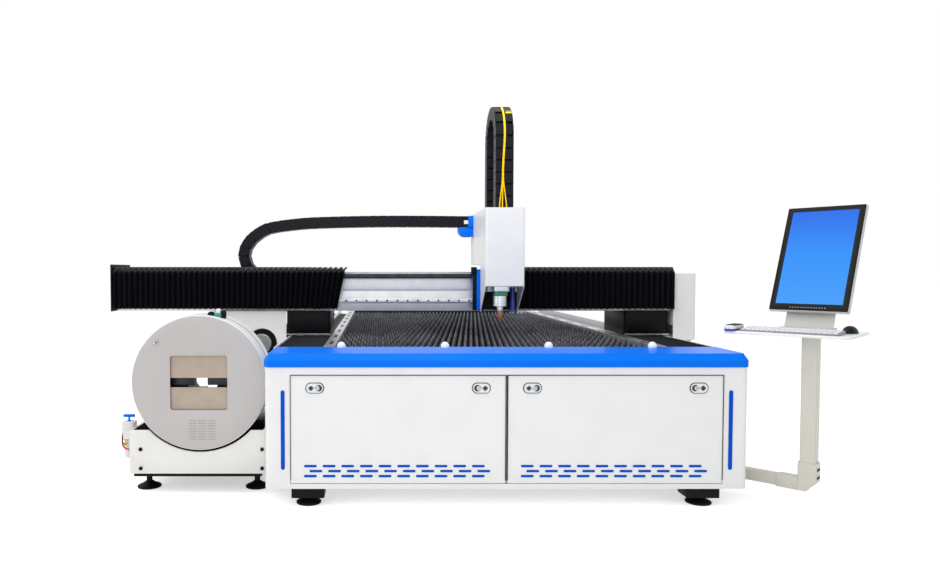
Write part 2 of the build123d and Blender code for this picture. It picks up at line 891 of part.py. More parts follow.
# Gantry beam: an aluminium extrusion with slots along its front and rear faces
with BuildPart() as gantry_beam:
    with BuildSketch(side.offset(-cap_inner_x)):
        area(beam_front_y, beam_back_y, beam_low, beam_top)
        for share in beam_groove_shares:
            groove_z = beam_low + share * beam_height
            for groove_y in (beam_front_y, beam_back_y - beam_groove_depth):
                area(groove_y, groove_y + beam_groove_depth, groove_z - beam_groove / 2,
                     groove_z + beam_groove / 2, mode=Mode.SUBTRACT)
    extrude(amount=cap_inner_x + end_cover_x)
save(gantry_beam, "gantry_beam")

# Guide rails of the carriage, on the beam's front face
with BuildPart() as x_rails:
    with BuildSketch(side.offset(-cap_inner_x + x_rail_end_gap)):
        for rail_z in (x_rail_upper_z, x_rail_lower_z):
            area(beam_front_y - x_rail_depth, beam_front_y, rail_z - x_rail_height / 2, rail_z + x_rail_height / 2)
    extrude(amount=cap_inner_x + end_cover_x - 2 * x_rail_end_gap)
save(x_rails, "x_rails")

# Gantry legs: cast blocks between the guide blocks and the beam, rounded at their inner ends
with BuildPart() as gantry_legs:
    with BuildSketch(front.offset(-leg_front_y)):
        for hand in (-1, 1):
            area(hand * leg_inner_x, hand * leg_outer_x, deck_top, beam_low)
    extrude(amount=-leg_depth)
    fillet(gantry_legs.edges().filter_by(Axis.Z).group_by(Axis.Y)[0], leg_corner_r)
save(gantry_legs, "gantry_legs")

# Guide blocks under the legs, two on each rail
block_ys = (leg_front_y + block_end_margin, leg_back_y - block_end_margin - block_length)
with BuildPart() as y_slide_blocks:
    with BuildSketch(front.offset(-block_ys[0]), front.offset(-block_ys[1])):
        for hand in (-1, 1):
            area(hand * y_rail_x - block_width / 2, hand * y_rail_x + block_width / 2, block_low, deck_top)
            area(hand * y_rail_x - y_rail_width / 2 - slide_gap, hand * y_rail_x + y_rail_width / 2 + slide_gap,
                 block_low, rail_bed_z + y_rail_height + slide_gap, mode=Mode.SUBTRACT)
    extrude(amount=-block_length)
save(y_slide_blocks, "y_slide_blocks")

# Travel motors: a round servo motor and a gearbox, on the outer side of each leg
motor_places = ((-1, left_motor_x, left_motor_z), (1, right_motor_x, right_motor_z))
with BuildPart() as y_motors:
    for hand, motor_x, motor_z in motor_places:
        with BuildSketch(front.offset(-y_motor_front_y)):
            with Locations((motor_x, motor_z)):
                RegularPolygon(y_motor_r, round_sides)
        extrude(amount=-y_motor_length)
        with BuildSketch(front.offset(-y_motor_front_y - y_motor_length)):
            area(hand * leg_outer_x, motor_x + hand * gearbox_half, motor_z - gearbox_half, gearbox_top)
        extrude(amount=-gearbox_length)
save(y_motors, "y_motors")

# Left end plate: a black plate that closes the beam and takes the bellows' end
with BuildPart() as left_end_cap:
    with BuildSketch(side.offset(-cap_outer_x)):
        area(cap_front_y, cap_back_y, beam_low, cap_top)
    extrude(amount=cap_wall)
save(left_end_cap, "left_end_cap")

# Right end cover: a white folded cover over the right travel motor and the beam's end
with BuildPart() as right_end_cover:
    with BuildSketch(plan.offset(end_cover_low)):
        area(end_cover_x, end_cover_x + end_cover_width, end_cover_front_y, end_cover_back_y)
    extrude(amount=beam_top - end_cover_low)
    fillet(right_end_cover.edges().filter_by(Axis.Z).group_by(Axis.X)[-1], end_cover_corner_r)
    with BuildSketch(side.offset(end_cover_x)):
        area(end_cover_front_y + end_cover_wall, end_cover_back_y - end_cover_wall,
             end_cover_low - overrun, right_motor_z + y_motor_r + overrun)
    extrude(amount=end_cover_width - end_cover_wall, mode=Mode.SUBTRACT)
save(right_end_cover, "right_end_cover")

# Left skirt: a folded white sheet under the beam's overhang, with the motor's round opening
skirt_outline = [
    (-skirt_outer_x, beam_low), (-skirt_inner_x, beam_low), (-skirt_inner_x, skirt_low + skirt_chamfer),
    (-skirt_inner_x - skirt_chamfer, skirt_low), (skirt_notch_x, skirt_low),
    (skirt_notch_x, skirt_notch_z), (-skirt_outer_x, skirt_notch_z),
]
with BuildPart() as left_skirt:
    with BuildSketch(front.offset(-leg_front_y)):
        Polygon(*skirt_outline, align=None)
        with Locations((left_motor_x, left_motor_z)):
            RegularPolygon(skirt_hole_r, drum_sides, mode=Mode.SUBTRACT)
    extrude(amount=-skirt_sheet)
    with BuildSketch(plan.offset(beam_low)):
        area(-skirt_outer_x, -skirt_inner_x, leg_front_y, leg_back_y)
    extrude(amount=-skirt_sheet)
save(left_skirt, "left_skirt")


def make_bellows(start, end, slant):
    """A folded cover over the beam's front and top, its free end cut back by slant at the foot."""
    with BuildPart() as cover:
        with BuildSketch(plan.offset(bellows_low)):
            Polygon(*pleats(start, end, bellows_pitch, bellows_front_y,
                            bellows_front_y + bellows_pleat_depth, bellows_back_y), align=None)
        extrude(amount=bellows_top - bellows_low)
        with BuildSketch(front.offset(-bellows_front_y)):
            Polygon(*pleats(start, end, bellows_pitch, bellows_top,
                            bellows_top - bellows_pleat_depth, bellows_low), align=None)
        extrude(amount=-(bellows_back_y - bellows_front_y), mode=Mode.INTERSECT)
        with BuildSketch(side.offset(start)):
            area(bellows_front_y + bellows_wall, bellows_back_y, bellows_low, bellows_top - bellows_wall)
        extrude(amount=end - start, mode=Mode.SUBTRACT)
        if slant:
            with BuildSketch(front.offset(-bellows_front_y)):
                Polygon((end, bellows_top), (end, bellows_low), (end - slant, bellows_low), align=None)
            extrude(amount=-(bellows_back_y - bellows_front_y), mode=Mode.SUBTRACT)
    return cover


left_bellows = make_bellows(left_bellows_start, left_bellows_end, left_bellows_slant)
right_bellows = make_bellows(right_bellows_start, end_cover_x - slide_gap, 0)
with BuildPart() as beam_bellows:
    add(left_bellows.part)
    add(right_bellows.part)
save(beam_bellows, "beam_bellows")

# Chain trough: a folded channel behind the beam, which the chain's lower run lies in
x_chain_mid_z = cover_top - chain_thickness / 2 - x_chain_radius - trough_wall
trough_floor_z = x_chain_mid_z - x_chain_radius - chain_thickness / 2 - slide_gap
trough_back_y = x_chain_y + chain_width + trough_side_gap
with BuildPart() as chain_trough:
    with BuildSketch(side.offset(trough_left_x)):
        area(beam_back_y, trough_back_y + trough_wall, trough_floor_z - trough_wall, trough_floor_z)
        area(trough_back_y, trough_back_y + trough_wall, trough_floor_z - trough_wall,
             trough_floor_z + trough_height)
    extrude(amount=trough_right_x - trough_left_x)
save(chain_trough, "chain_trough")

# Carriage chain: links from the bracket on the carriage, round a half turn, into the trough
chain_end_x = cover_left - chain_tab_length
chain_bend_x = chain_end_x - x_chain_upper_run
chain_foot_z = x_chain_mid_z + x_chain_radius - chain_thickness / 2
with BuildPart() as x_chain:
    with BuildSketch(front.offset(-x_chain_y)):
        for link in chain_links(x_chain_upper_run, x_chain_lower_run, x_chain_radius, x_chain_pitch):
            Polygon(*[(chain_bend_x + a, x_chain_mid_z + b) for a, b in link], align=None)
    extrude(amount=-chain_width)
save(x_chain, "x_chain")

# Upright chain: a half turn above the head's cover, from its rear to its front
z_chain_mid_z = z_chain_top - z_chain_radius - chain_thickness / 2
z_chain_run = z_chain_mid_z - cover_top
with BuildPart() as z_chain:
    with BuildSketch(side.offset(head_x - chain_width / 2)):
        for link in chain_links(z_chain_run, z_chain_run, z_chain_radius, z_chain_pitch):
            Polygon(*[(z_chain_bend_y + b, z_chain_mid_z - a) for a, b in link], align=None)
    extrude(amount=chain_width)
save(z_chain, "z_chain")

# Laser fibre and its guard tube: two lines side by side along the upright chain's outer face
fibre_bend_r = z_chain_radius + chain_thickness / 2 + fibre_r + slide_gap
fibre_bends = round(pi * z_chain_radius / z_chain_pitch)
fibre_turns = [pi - number * pi / fibre_bends for number in range(fibre_bends + 1)]
fibre_route = [(z_chain_bend_y - fibre_bend_r, cover_top)]
fibre_route += [(z_chain_bend_y + fibre_bend_r * cos(turn), z_chain_mid_z + fibre_bend_r * sin(turn))
                for turn in fibre_turns]
fibre_route += [(z_chain_bend_y + fibre_bend_r, cover_top)]
with BuildPart() as fibre_lines:
    for lane in (-1, 1):
        with BuildLine(side.offset(head_x + lane * fibre_spacing / 2)) as route:
            Polyline(*fibre_route)
        with BuildSketch(Plane(origin=route.line @ 0, z_dir=route.line % 0)):
            RegularPolygon(fibre_r, 6)
        sweep(path=route.line, transition=Transition.RIGHT)
save(fibre_lines, "fibre_lines")

# Head cover: a folded white box over the carriage, open below and behind
cover_profile = [
    (cover_front_y, cover_low), (cover_front_y, cover_top), (cover_back_y, cover_top),
    (cover_back_y, cover_step_z), (cover_neck_y, cover_step_z), (cover_neck_y, cover_skirt_z),
]
cover_inside = [
    (cover_front_y + cover_wall, cover_skirt_z - overrun), (cover_front_y + cover_wall, cover_top - cover_wall),
    (cover_back_y - cover_wall, cover_top - cover_wall), (cover_back_y - cover_wall, cover_step_z - overrun),
    (cover_neck_y + overrun, cover_step_z - overrun), (cover_neck_y + overrun, cover_skirt_z - overrun),
]
with BuildPart() as head_cover:
    with BuildSketch(side.offset(cover_left)):
        Polygon(*cover_profile, align=None)
    extrude(amount=2 * cover_half)
    fillet(head_cover.edges().filter_by(Axis.Z).group_by(Axis.Y)[0], cover_edge_r)
    with BuildSketch(side.offset(cover_left + cover_wall)):
        Polygon(*cover_inside, align=None)
    extrude(amount=2 * (cover_half - cover_wall), mode=Mode.SUBTRACT)
save(head_cover, "head_cover")

# Carriage: a machined plate with four guide blocks and the bridge over the beam
carriage_back_y = carriage_front_y + carriage_plate
carriage_half = cover_half - cover_wall
block_spread = carriage_half - carriage_block_inset - carriage_block_length / 2
with BuildPart() as carriage:
    with BuildSketch(front.offset(-carriage_front_y)):
        area(head_x - carriage_half, head_x + carriage_half, carriage_low, carriage_high)
    extrude(amount=-carriage_plate)
    with BuildSketch(front.offset(-carriage_back_y)):
        for rail_z in (x_rail_upper_z, x_rail_lower_z):
            with Locations((head_x, rail_z)):
                with GridLocations(2 * block_spread, 1, 2, 1):
                    Rectangle(carriage_block_length, carriage_block_height)
                Rectangle(2 * carriage_half, x_rail_height + 2 * slide_gap, mode=Mode.SUBTRACT)
    extrude(amount=-(beam_front_y - carriage_block_gap - carriage_back_y))
    with BuildSketch(plan.offset(bridge_low)):
        area(head_x - bridge_half, head_x + bridge_half, carriage_back_y, cover_back_y - cover_wall)
    extrude(amount=bridge_thickness)
save(carriage, "carriage")

# Blue brackets of the carriage: the chain's end bracket and the flange beside the head
with BuildPart() as carriage_brackets:
    with BuildSketch(front.offset(-x_chain_y)):
        area(cover_left - chain_bracket_length, cover_left, chain_bracket_low, chain_foot_z - slide_gap)
        area(chain_end_x, cover_left, chain_bracket_low, chain_foot_z + chain_thickness)
    extrude(amount=-chain_width)
    lower_left = carriage_brackets.edges().filter_by(Axis.Y).group_by(Axis.X)[0].sort_by(Axis.Z)[0]
    fillet(lower_left, chain_bracket_corner_r)
    with BuildSketch(front.offset(side_flange_thickness - carriage_front_y)):
        area(side_flange_left, side_flange_right, side_flange_low, side_flange_high)
    extrude(amount=-side_flange_thickness)
save(carriage_brackets, "carriage_brackets")

# Height drive: two guide rails on the carriage, and the motor with its screw above them
z_rail_front_y = z_slide_back_y + slide_gap
with BuildPart() as z_drive:
    with BuildSketch(front.offset(-z_rail_front_y)):
        with Locations((head_x, (z_rail_low + z_rail_high) / 2)):
            with GridLocations(2 * z_rail_half_spacing, 1, 2, 1):
                Rectangle(z_rail_width, z_rail_high - z_rail_low)
    extrude(amount=-(carriage_front_y - z_rail_front_y))
    with BuildSketch(plan.offset(z_motor_low)):
        area(head_x - z_motor_half, head_x + z_motor_half,
             carriage_front_y - z_motor_half, carriage_front_y + z_motor_half)
    extrude(amount=z_motor_height)
    with BuildSketch(plan.offset(carriage_high)):
        area(head_x - z_motor_half, head_x + z_motor_half, carriage_front_y, carriage_back_y)
    extrude(amount=z_motor_low - carriage_high)
save(z_drive, "z_drive")

# Height slide: the plate that carries the cutting head and a gas probe beside it
z_slide_front_y = z_slide_back_y - z_slide_thickness
with BuildPart() as z_slide:
    with BuildSketch(front.offset(-z_slide_front_y)):
        area(head_x - z_slide_half, head_x + z_slide_half, z_rail_low, z_rail_high)
    extrude(amount=-z_slide_thickness)
    with BuildSketch(front.offset(-cut_y - cut_box_half)):
        area(cut_x - cut_box_half, cut_x + cut_box_half, z_rail_low, cut_box_top)
    extrude(amount=-(z_slide_front_y - cut_y - cut_box_half))
    with BuildSketch(plan.offset(probe_low)):
        with Locations((probe_x, z_slide_front_y - probe_r + slide_gap)):
            Circle(probe_r)
    extrude(amount=probe_high - probe_low)
save(z_slide, "z_slide")

# Cutting head: square optics housing, green sensor band, round body and nozzle holder
with BuildPart() as cutting_head:
    with BuildSketch(plan.offset(cut_band_top)):
        with Locations((cut_x, cut_y)):
            Rectangle(2 * cut_box_half, 2 * cut_box_half)
    extrude(amount=cut_box_top - cut_band_top)
    with BuildSketch(plan.offset(cut_body_top)):
        with Locations((cut_x, cut_y)):
            Rectangle(2 * (cut_box_half - cut_band_inset), 2 * (cut_box_half - cut_band_inset))
    extrude(amount=cut_band_top - cut_body_top)
    with BuildSketch(plan.offset(cut_body_low)):
        with Locations((cut_x, cut_y)):
            RegularPolygon(cut_body_r, drum_sides)
    extrude(amount=cut_body_top - cut_body_low)
    with BuildSketch(plan.offset(cut_holder_low)):
        with Locations((cut_x, cut_y)):
            RegularPolygon(cut_holder_r, round_sides)
    extrude(amount=cut_body_low - cut_holder_low)
save(cutting_head, "cutting_head")

# Nozzle: the copper tip under the holder, stepped down to the beam's outlet
with BuildPart() as nozzle:
    nozzle_step = (cut_holder_low - nozzle_tip_z) / len(nozzle_radii)
    for number, radius in enumerate(nozzle_radii):
        with BuildSketch(plan.offset(cut_holder_low - number * nozzle_step)):
            with Locations((cut_x, cut_y)):
                RegularPolygon(radius, round_sides)
        extrude(amount=-nozzle_step)
save(nozzle, "nozzle")

# Chuck base: a welded trough tied to the bed, its front plate cut round the drum, and the drum's saddle
with BuildPart() as chuck_base:
    with BuildSketch(plan.offset(base_low)):
        area(base_left_x, base_right_x, base_front_y + base_plate, base_back_y)
    extrude(amount=base_top - base_low)
    with BuildSketch(plan.offset(base_top)):
        area(base_left_x, base_right_x, base_front_y + base_plate, base_back_y)
        area(base_left_x + base_plate, base_right_x - base_plate, base_front_y + base_plate,
             base_back_y - base_plate, mode=Mode.SUBTRACT)
    extrude(amount=base_plate_top - base_top)
    with BuildSketch(plan.offset(base_low - base_plinth)):
        area(base_left_x + base_plinth_inset, base_right_x - base_plinth_inset,
             base_front_y + base_plinth_inset, base_back_y - base_plinth_inset)
    extrude(amount=base_plinth)
    with BuildSketch(plan.offset(tie_low)):
        for tie_y in tie_places:
            area(base_right_x, -body_half, tie_y, tie_y + tie_depth)
    extrude(amount=tie_high - tie_low)
    with BuildSketch(front.offset(-base_front_y)):
        area(base_left_x, base_right_x, base_low, base_plate_top)
        with Locations((chuck_x, chuck_z)):
            Circle(drum_r + base_cut_gap, mode=Mode.SUBTRACT)
    extrude(amount=-base_plate)
    with BuildSketch(front.offset(-drum_front_y - saddle_front_gap)):
        area(chuck_x - saddle_half, chuck_x + saddle_half, base_top, chuck_z - sqrt(drum_r**2 - saddle_half**2))
        with Locations((chuck_x, chuck_z)):
            Circle(drum_r + running_fit, mode=Mode.SUBTRACT)
    extrude(amount=-saddle_depth)
save(chuck_base, "chuck_base")

# Chuck housing: a drum, open in front, with the spindle's bearing bore in its back
with BuildPart() as chuck_housing:
    with BuildSketch(front.offset(-drum_front_y)):
        with Locations((chuck_x, chuck_z)):
            RegularPolygon(drum_r, rim_sides)
    extrude(amount=-drum_depth)
    with BuildSketch(front.offset(-drum_front_y)):
        with Locations((chuck_x, chuck_z)):
            RegularPolygon(drum_r - drum_wall, drum_sides)
    extrude(amount=-(drum_depth - drum_back), mode=Mode.SUBTRACT)
    with BuildSketch(front.offset(-drum_back_y)):
        with Locations((chuck_x, chuck_z)):
            Circle(spindle_r + running_fit)
    extrude(amount=drum_back, mode=Mode.SUBTRACT)
save(chuck_housing, "chuck_housing")

# Chuck cover: the grey guard disc with its window and key lock
with BuildPart() as chuck_cover:
    with BuildSketch(front.offset(-drum_front_y)):
        with Locations((chuck_x, chuck_z)):
            RegularPolygon(drum_r - cover_disc_inset, rim_sides)
            RectangleRounded(window_width, window_height, window_corner_r, mode=Mode.SUBTRACT)
    extrude(amount=cover_disc_thickness)
    with BuildSketch(front.offset(cover_disc_thickness - drum_front_y)):
        with Locations((chuck_x + lock_offset_x, chuck_z + lock_offset_z)):
            RegularPolygon(lock_r, round_sides)
    extrude(amount=lock_proud)
save(chuck_cover, "chuck_cover")

# Chuck rotor: face plate, hollow spindle and belt pulley in one
face_back_y = face_plate_front_y + face_plate_thickness
pulley_y = drum_back_y + pulley_gap
with BuildPart() as chuck_rotor:
    with BuildSketch(front.offset(-face_plate_front_y)):
        with Locations((chuck_x, chuck_z)):
            RegularPolygon(face_plate_r, drum_sides)
    extrude(amount=-face_plate_thickness)
    with BuildSketch(front.offset(-pulley_y)):
        with Locations((chuck_x, chuck_z)):
            RegularPolygon(pulley_r, drum_sides)
    extrude(amount=-pulley_width)
    with BuildSketch(front.offset(-face_back_y)):
        with Locations((chuck_x, chuck_z)):
            Circle(spindle_r)
    extrude(amount=-(pulley_y - face_back_y))
    with BuildSketch(front.offset(-face_plate_front_y)):
        with Locations((chuck_x, chuck_z)):
            Circle(spindle_bore_r)
    extrude(amount=-(pulley_y + pulley_width - face_plate_front_y), mode=Mode.SUBTRACT)
save(chuck_rotor, "chuck_rotor")

jaw_plate_y = drum_front_y + jaw_plate_gap
jaw_block_y = jaw_plate_y + jaw_plate_thickness
jaw_seat_y = face_plate_front_y - slide_gap


def make_plate_jaw(way):
    """Jaw that closes from above (way 1) or below (way -1): wide plate, block and foot on the face plate."""
    with BuildPart() as jaw:
        with BuildSketch(front.offset(-jaw_plate_y)):
            area(chuck_x - jaw_plate_half, chuck_x + jaw_plate_half,
                 chuck_z + way * jaw_gap_half, chuck_z + way * (jaw_gap_half + jaw_plate_height))
        extrude(amount=-jaw_plate_thickness)
        with BuildSketch(front.offset(-jaw_block_y)):
            area(chuck_x - jaw_block_half, chuck_x + jaw_block_half,
                 chuck_z + way * jaw_gap_half, chuck_z + way * (jaw_gap_half + jaw_block_height))
        extrude(amount=-jaw_block_depth)
        with BuildSketch(front.offset(-jaw_block_y - jaw_block_depth)):
            area(chuck_x - jaw_block_half, chuck_x + jaw_block_half,
                 chuck_z + way * jaw_foot_start, chuck_z + way * (jaw_gap_half + jaw_block_height))
        extrude(amount=-(jaw_seat_y - jaw_block_y - jaw_block_depth))
    return jaw


def make_side_jaw(way):
    """Jaw that closes from the right (way 1) or left (way -1): a block on the face plate."""
    with BuildPart() as jaw:
        with BuildSketch(front.offset(-jaw_seat_y)):
            area(chuck_x + way * side_jaw_gap_half, chuck_x + way * (side_jaw_gap_half + side_jaw_length),
                 chuck_z - side_jaw_half, chuck_z + side_jaw_half)
        extrude(amount=side_jaw_depth)
    return jaw


save(make_plate_jaw(1), "upper_jaw")
save(make_plate_jaw(-1), "lower_jaw")
save(make_side_jaw(-1), "left_jaw")
save(make_side_jaw(1), "right_jaw")

# Chuck motor: a servo motor lying on the base beside the pulley
with BuildPart() as chuck_motor:
    with BuildSketch(front.offset(-chuck_motor_start_y)):
        area(chuck_motor_x - chuck_motor_half, chuck_motor_x + chuck_motor_half,
             base_top, base_top + 2 * chuck_motor_half)
    extrude(amount=-chuck_motor_length)
    chamfer(chuck_motor.edges().filter_by(Axis.Y), chuck_motor_edge)
save(chuck_motor, "chuck_motor")

# Air unit: filter bowl and valve head on a bracket, and the air elbow on top of the drum
air_head_low = air_low + air_bowl_height
elbow_seat = chuck_z + sqrt(drum_r**2 - (elbow_offset_x - elbow_half_x) ** 2)
with BuildPart() as air_unit:
    with BuildSketch(plan.offset(air_low)):
        with Locations((air_x, air_y)):
            RegularPolygon(air_bowl_r, round_sides)
    extrude(amount=air_bowl_height)
    with BuildSketch(plan.offset(air_head_low)):
        with Locations((air_x, air_y)):
            Rectangle(2 * air_head_half, 2 * air_head_half)
    extrude(amount=air_head_height)
    with BuildSketch(plan.offset(air_head_low)):
        area(air_x, base_left_x, base_front_y, air_y)
    extrude(amount=air_bracket_height)
    with BuildSketch(front.offset(elbow_half_y - elbow_y)):
        area(chuck_x + elbow_offset_x - elbow_half_x, chuck_x + elbow_offset_x + elbow_half_x,
             chuck_z, elbow_seat + elbow_height)
        with Locations((chuck_x, chuck_z)):
            Circle(drum_r + running_fit, mode=Mode.SUBTRACT)
    extrude(amount=-2 * elbow_half_y)
save(air_unit, "air_unit")

# Valve lever: the blue T lever on top of the air unit
lever_low = air_head_low + air_head_height + slide_gap
with BuildPart() as valve_lever:
    with BuildSketch(plan.offset(lever_low)):
        with Locations((air_x, air_y)):
            RegularPolygon(lever_stem_r, round_sides)
    extrude(amount=lever_stem_height)
    with BuildSketch(plan.offset(lever_low + lever_stem_height)):
        with Locations((air_x, air_y)):
            Rectangle(lever_length, lever_width)
    extrude(amount=lever_height)
save(valve_lever, "valve_lever")

# Console frame: x along the tray's front edge, y away from the operator
yaw = radians(console_yaw)
console = Plane(origin=(bed_x + console_x, front_y + console_y, 0),
                x_dir=(cos(yaw), -sin(yaw), 0), z_dir=(0, 0, 1))
pivot_x = console_x - arm_length * cos(yaw)
pivot_y = console_y + arm_length * sin(yaw)

# Arm bracket: a plate on the cabinet's right side with two lugs and the pivot pin
with BuildPart() as arm_bracket:
    with BuildSketch(side.offset(body_half)):
        area(pivot_y - bracket_half, pivot_y + bracket_half,
             arm_low - bracket_rise, arm_low + arm_height + bracket_rise)
    extrude(amount=bracket_plate)
    for lug_z in (arm_low - slide_gap - bracket_plate, arm_low + arm_height + slide_gap):
        with BuildSketch(plan.offset(lug_z)):
            area(body_half, pivot_x, pivot_y - bracket_lug_half, pivot_y + bracket_lug_half)
            with Locations((pivot_x, pivot_y)):
                RegularPolygon(bracket_lug_half, round_sides)
        extrude(amount=bracket_plate)
    with BuildSketch(plan.offset(arm_low - slide_gap)):
        with Locations((pivot_x, pivot_y)):
            RegularPolygon(pivot_r, round_sides)
    extrude(amount=arm_height + 2 * slide_gap)
save(arm_bracket, "arm_bracket")

# Console stand: the welded arm, elbow and column
with BuildPart() as console_stand:
    with BuildSketch(console.offset(arm_low)):
        area(-arm_length, 0, -arm_width / 2, arm_width / 2)
        with Locations((-arm_length, 0)):
            RegularPolygon(arm_eye_r, round_sides)
    extrude(amount=arm_height)
    with BuildSketch(console.offset(arm_low)):
        RectangleRounded(column_width, column_width, column_corner_r)
    extrude(amount=tray_top - tray_thickness - arm_low)
    with BuildSketch(console.offset(arm_low)):
        RectangleRounded(sleeve_width, sleeve_width, column_corner_r)
    extrude(amount=sleeve_height)
    elbow_profile = Plane(origin=console.from_local_coords((0, -sleeve_width / 2, 0)),
                          x_dir=console.x_dir, z_dir=-console.y_dir)
    with BuildSketch(elbow_profile):
        Polygon((sleeve_width / 2, arm_low), (sleeve_width / 2, arm_low + elbow_chamfer),
                (sleeve_width / 2 - elbow_chamfer, arm_low), align=None)
    extrude(amount=-sleeve_width, mode=Mode.SUBTRACT)
    with BuildSketch(console.offset(arm_low)):
        with Locations((-arm_length, 0)):
            RegularPolygon(pivot_r + running_fit, round_sides, major_radius=False)
    extrude(amount=arm_height, mode=Mode.SUBTRACT)
save(console_stand, "console_stand")

# Console tray: a folded white tray on the column
with BuildPart() as console_tray:
    with BuildSketch(console.offset(tray_top - tray_thickness)):
        area(tray_left, tray_right, tray_front, tray_back)
    extrude(amount=tray_thickness)
    fillet(console_tray.edges().filter_by(Axis.Z), tray_corner_r)
save(console_tray, "console_tray")

# Monitor frame: x along the screen's foot, y up the screen, z out of it
screen_yaw = radians(console_yaw + monitor_swivel)
tilt = radians(monitor_tilt)
across = Vector(cos(screen_yaw), -sin(screen_yaw), 0)
away = Vector(sin(screen_yaw), cos(screen_yaw), 0)
facing = away * -cos(tilt) + Vector(0, 0, sin(tilt))
upward = away * sin(tilt) + Vector(0, 0, cos(tilt))
screen_foot = console.from_local_coords((monitor_offset_x, monitor_offset_y, tray_top + monitor_rise))
screen = Plane(origin=screen_foot, x_dir=across, z_dir=facing)
screen_side = Plane(origin=screen_foot, x_dir=upward, z_dir=across)
pivot_back = -monitor_thickness - tilt_axis_back

# Monitor stand: an easel plate on the tray, with two ears for the tilt pin
stand_back = -monitor_thickness - stand_back_gap
stand_foot = -monitor_rise / cos(tilt) - (stand_back_gap + monitor_thickness) * sin(tilt) / cos(tilt)
base_edge = console.from_local_coords((monitor_offset_x, monitor_offset_y, tray_top))
stand_floor = Plane(origin=base_edge, x_dir=across, z_dir=(0, 0, 1))
with BuildPart() as monitor_stand:
    with BuildSketch(screen.offset(stand_back - stand_plate)):
        area(-stand_half, stand_half, stand_foot - stand_plate, stand_reach)
    extrude(amount=stand_plate)
    with BuildSketch(stand_floor):
        area(-stand_half, stand_half, -stand_base_depth / 2, stand_base_depth / 2)
    extrude(amount=stand_plate)
    for ear_start in (-tilt_ear_start - tilt_ear_thickness, tilt_ear_start):
        with BuildSketch(screen_side.offset(ear_start)):
            with Locations((tilt_axis_up, pivot_back)):
                RegularPolygon(tilt_ear_r, round_sides)
            area(stand_reach - tilt_ear_r, tilt_axis_up, stand_back - stand_plate, stand_back)
            area(tilt_axis_up - tilt_ear_r, tilt_axis_up + tilt_ear_r, stand_back - stand_plate, pivot_back)
            with Locations((tilt_axis_up, pivot_back)):
                RegularPolygon(tilt_pin_r + running_fit, round_sides, major_radius=False, mode=Mode.SUBTRACT)
        extrude(amount=tilt_ear_thickness)
    split(bisect_by=stand_floor, keep=Keep.TOP)
save(monitor_stand, "monitor_stand")

# Monitor: a pale shell with a recess for the panel, and the tilt boss with its pin behind
with BuildPart() as monitor:
    with BuildSketch(screen):
        area(-monitor_width / 2, monitor_width / 2, 0, monitor_height)
    extrude(amount=-monitor_thickness)
    with BuildSketch(screen):
        area(-monitor_width / 2 + bezel_width, monitor_width / 2 - bezel_width,
             bezel_foot, monitor_height - bezel_width)
    extrude(amount=-screen_depth, mode=Mode.SUBTRACT)
    with BuildSketch(screen_side.offset(-tilt_ear_start + slide_gap)):
        area(tilt_axis_up - tilt_boss_half, tilt_axis_up + tilt_boss_half,
             pivot_back - tilt_boss_back, -monitor_thickness)
    extrude(amount=2 * (tilt_ear_start - slide_gap))
    with BuildSketch(screen_side.offset(-tilt_ear_start - tilt_ear_thickness)):
        with Locations((tilt_axis_up, pivot_back)):
            RegularPolygon(tilt_pin_r, round_sides)
    extrude(amount=2 * (tilt_ear_start + tilt_ear_thickness))
save(monitor, "monitor")

# Screen: the display panel in the monitor's recess
with BuildPart() as screen_panel:
    with BuildSketch(screen.offset(-screen_depth)):
        area(-monitor_width / 2 + bezel_width, monitor_width / 2 - bezel_width,
             bezel_foot, monitor_height - bezel_width)
    extrude(amount=screen_depth / 2)
save(screen_panel, "screen_panel")

# Keyboard: a wedge with raised rows of keys, on the tray
key_row_depth = (keyboard_width - 2 * key_field_inset + key_row_gap) / key_rows - key_row_gap
keyboard_side = Plane(origin=console.from_local_coords((keyboard_x - keyboard_length / 2, keyboard_y, tray_top)),
                      x_dir=console.y_dir, z_dir=console.x_dir)
with BuildPart() as keyboard:
    with BuildSketch(keyboard_side):
        half_width = keyboard_width / 2
        Polygon((-half_width, 0), (half_width, 0), (half_width, keyboard_height - key_rise),
                (-half_width, keyboard_height - key_rise - keyboard_slope), align=None)
    extrude(amount=keyboard_length)
    with BuildSketch(keyboard_side.offset(key_field_inset)):
        for row in range(key_rows):
            row_start = -half_width + key_field_inset + row * (key_row_depth + key_row_gap)
            row_share = (row + 1 / 2) / key_rows
            row_top = keyboard_height - keyboard_slope * (1 - row_share)
            area(row_start, row_start + key_row_depth, 0, row_top)
    extrude(amount=keyboard_length - 2 * key_field_inset)
save(keyboard, "keyboard")

# Mouse: a low dome on the tray
with BuildPart() as mouse:
    with BuildSketch(console.offset(tray_top)) as mouse_sketch:
        with Locations((mouse_x, mouse_y)):
            Rectangle(mouse_width, mouse_length)
        chamfer(mouse_sketch.vertices(), mouse_corner)
    extrude(amount=mouse_height, taper=mouse_taper)
save(mouse, "mouse")

# Pendant: a hand control lying on the tray
with BuildPart() as pendant:
    with BuildSketch(console.offset(tray_top)):
        with Locations((pendant_x, pendant_y)):
            Rectangle(pendant_width, pendant_length)
    extrude(amount=pendant_height)
    chamfer(pendant.faces().sort_by(Axis.Z)[-1].edges(), pendant_height / 4)
save(pendant, "pendant")
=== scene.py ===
"""Fiber laser cutting machine for sheet and tube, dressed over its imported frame."""
from math import atan2, cos, pi, radians, sin

import bpy
from mathutils import Matrix, Vector
from mathutils.geometry import interpolate_bezier


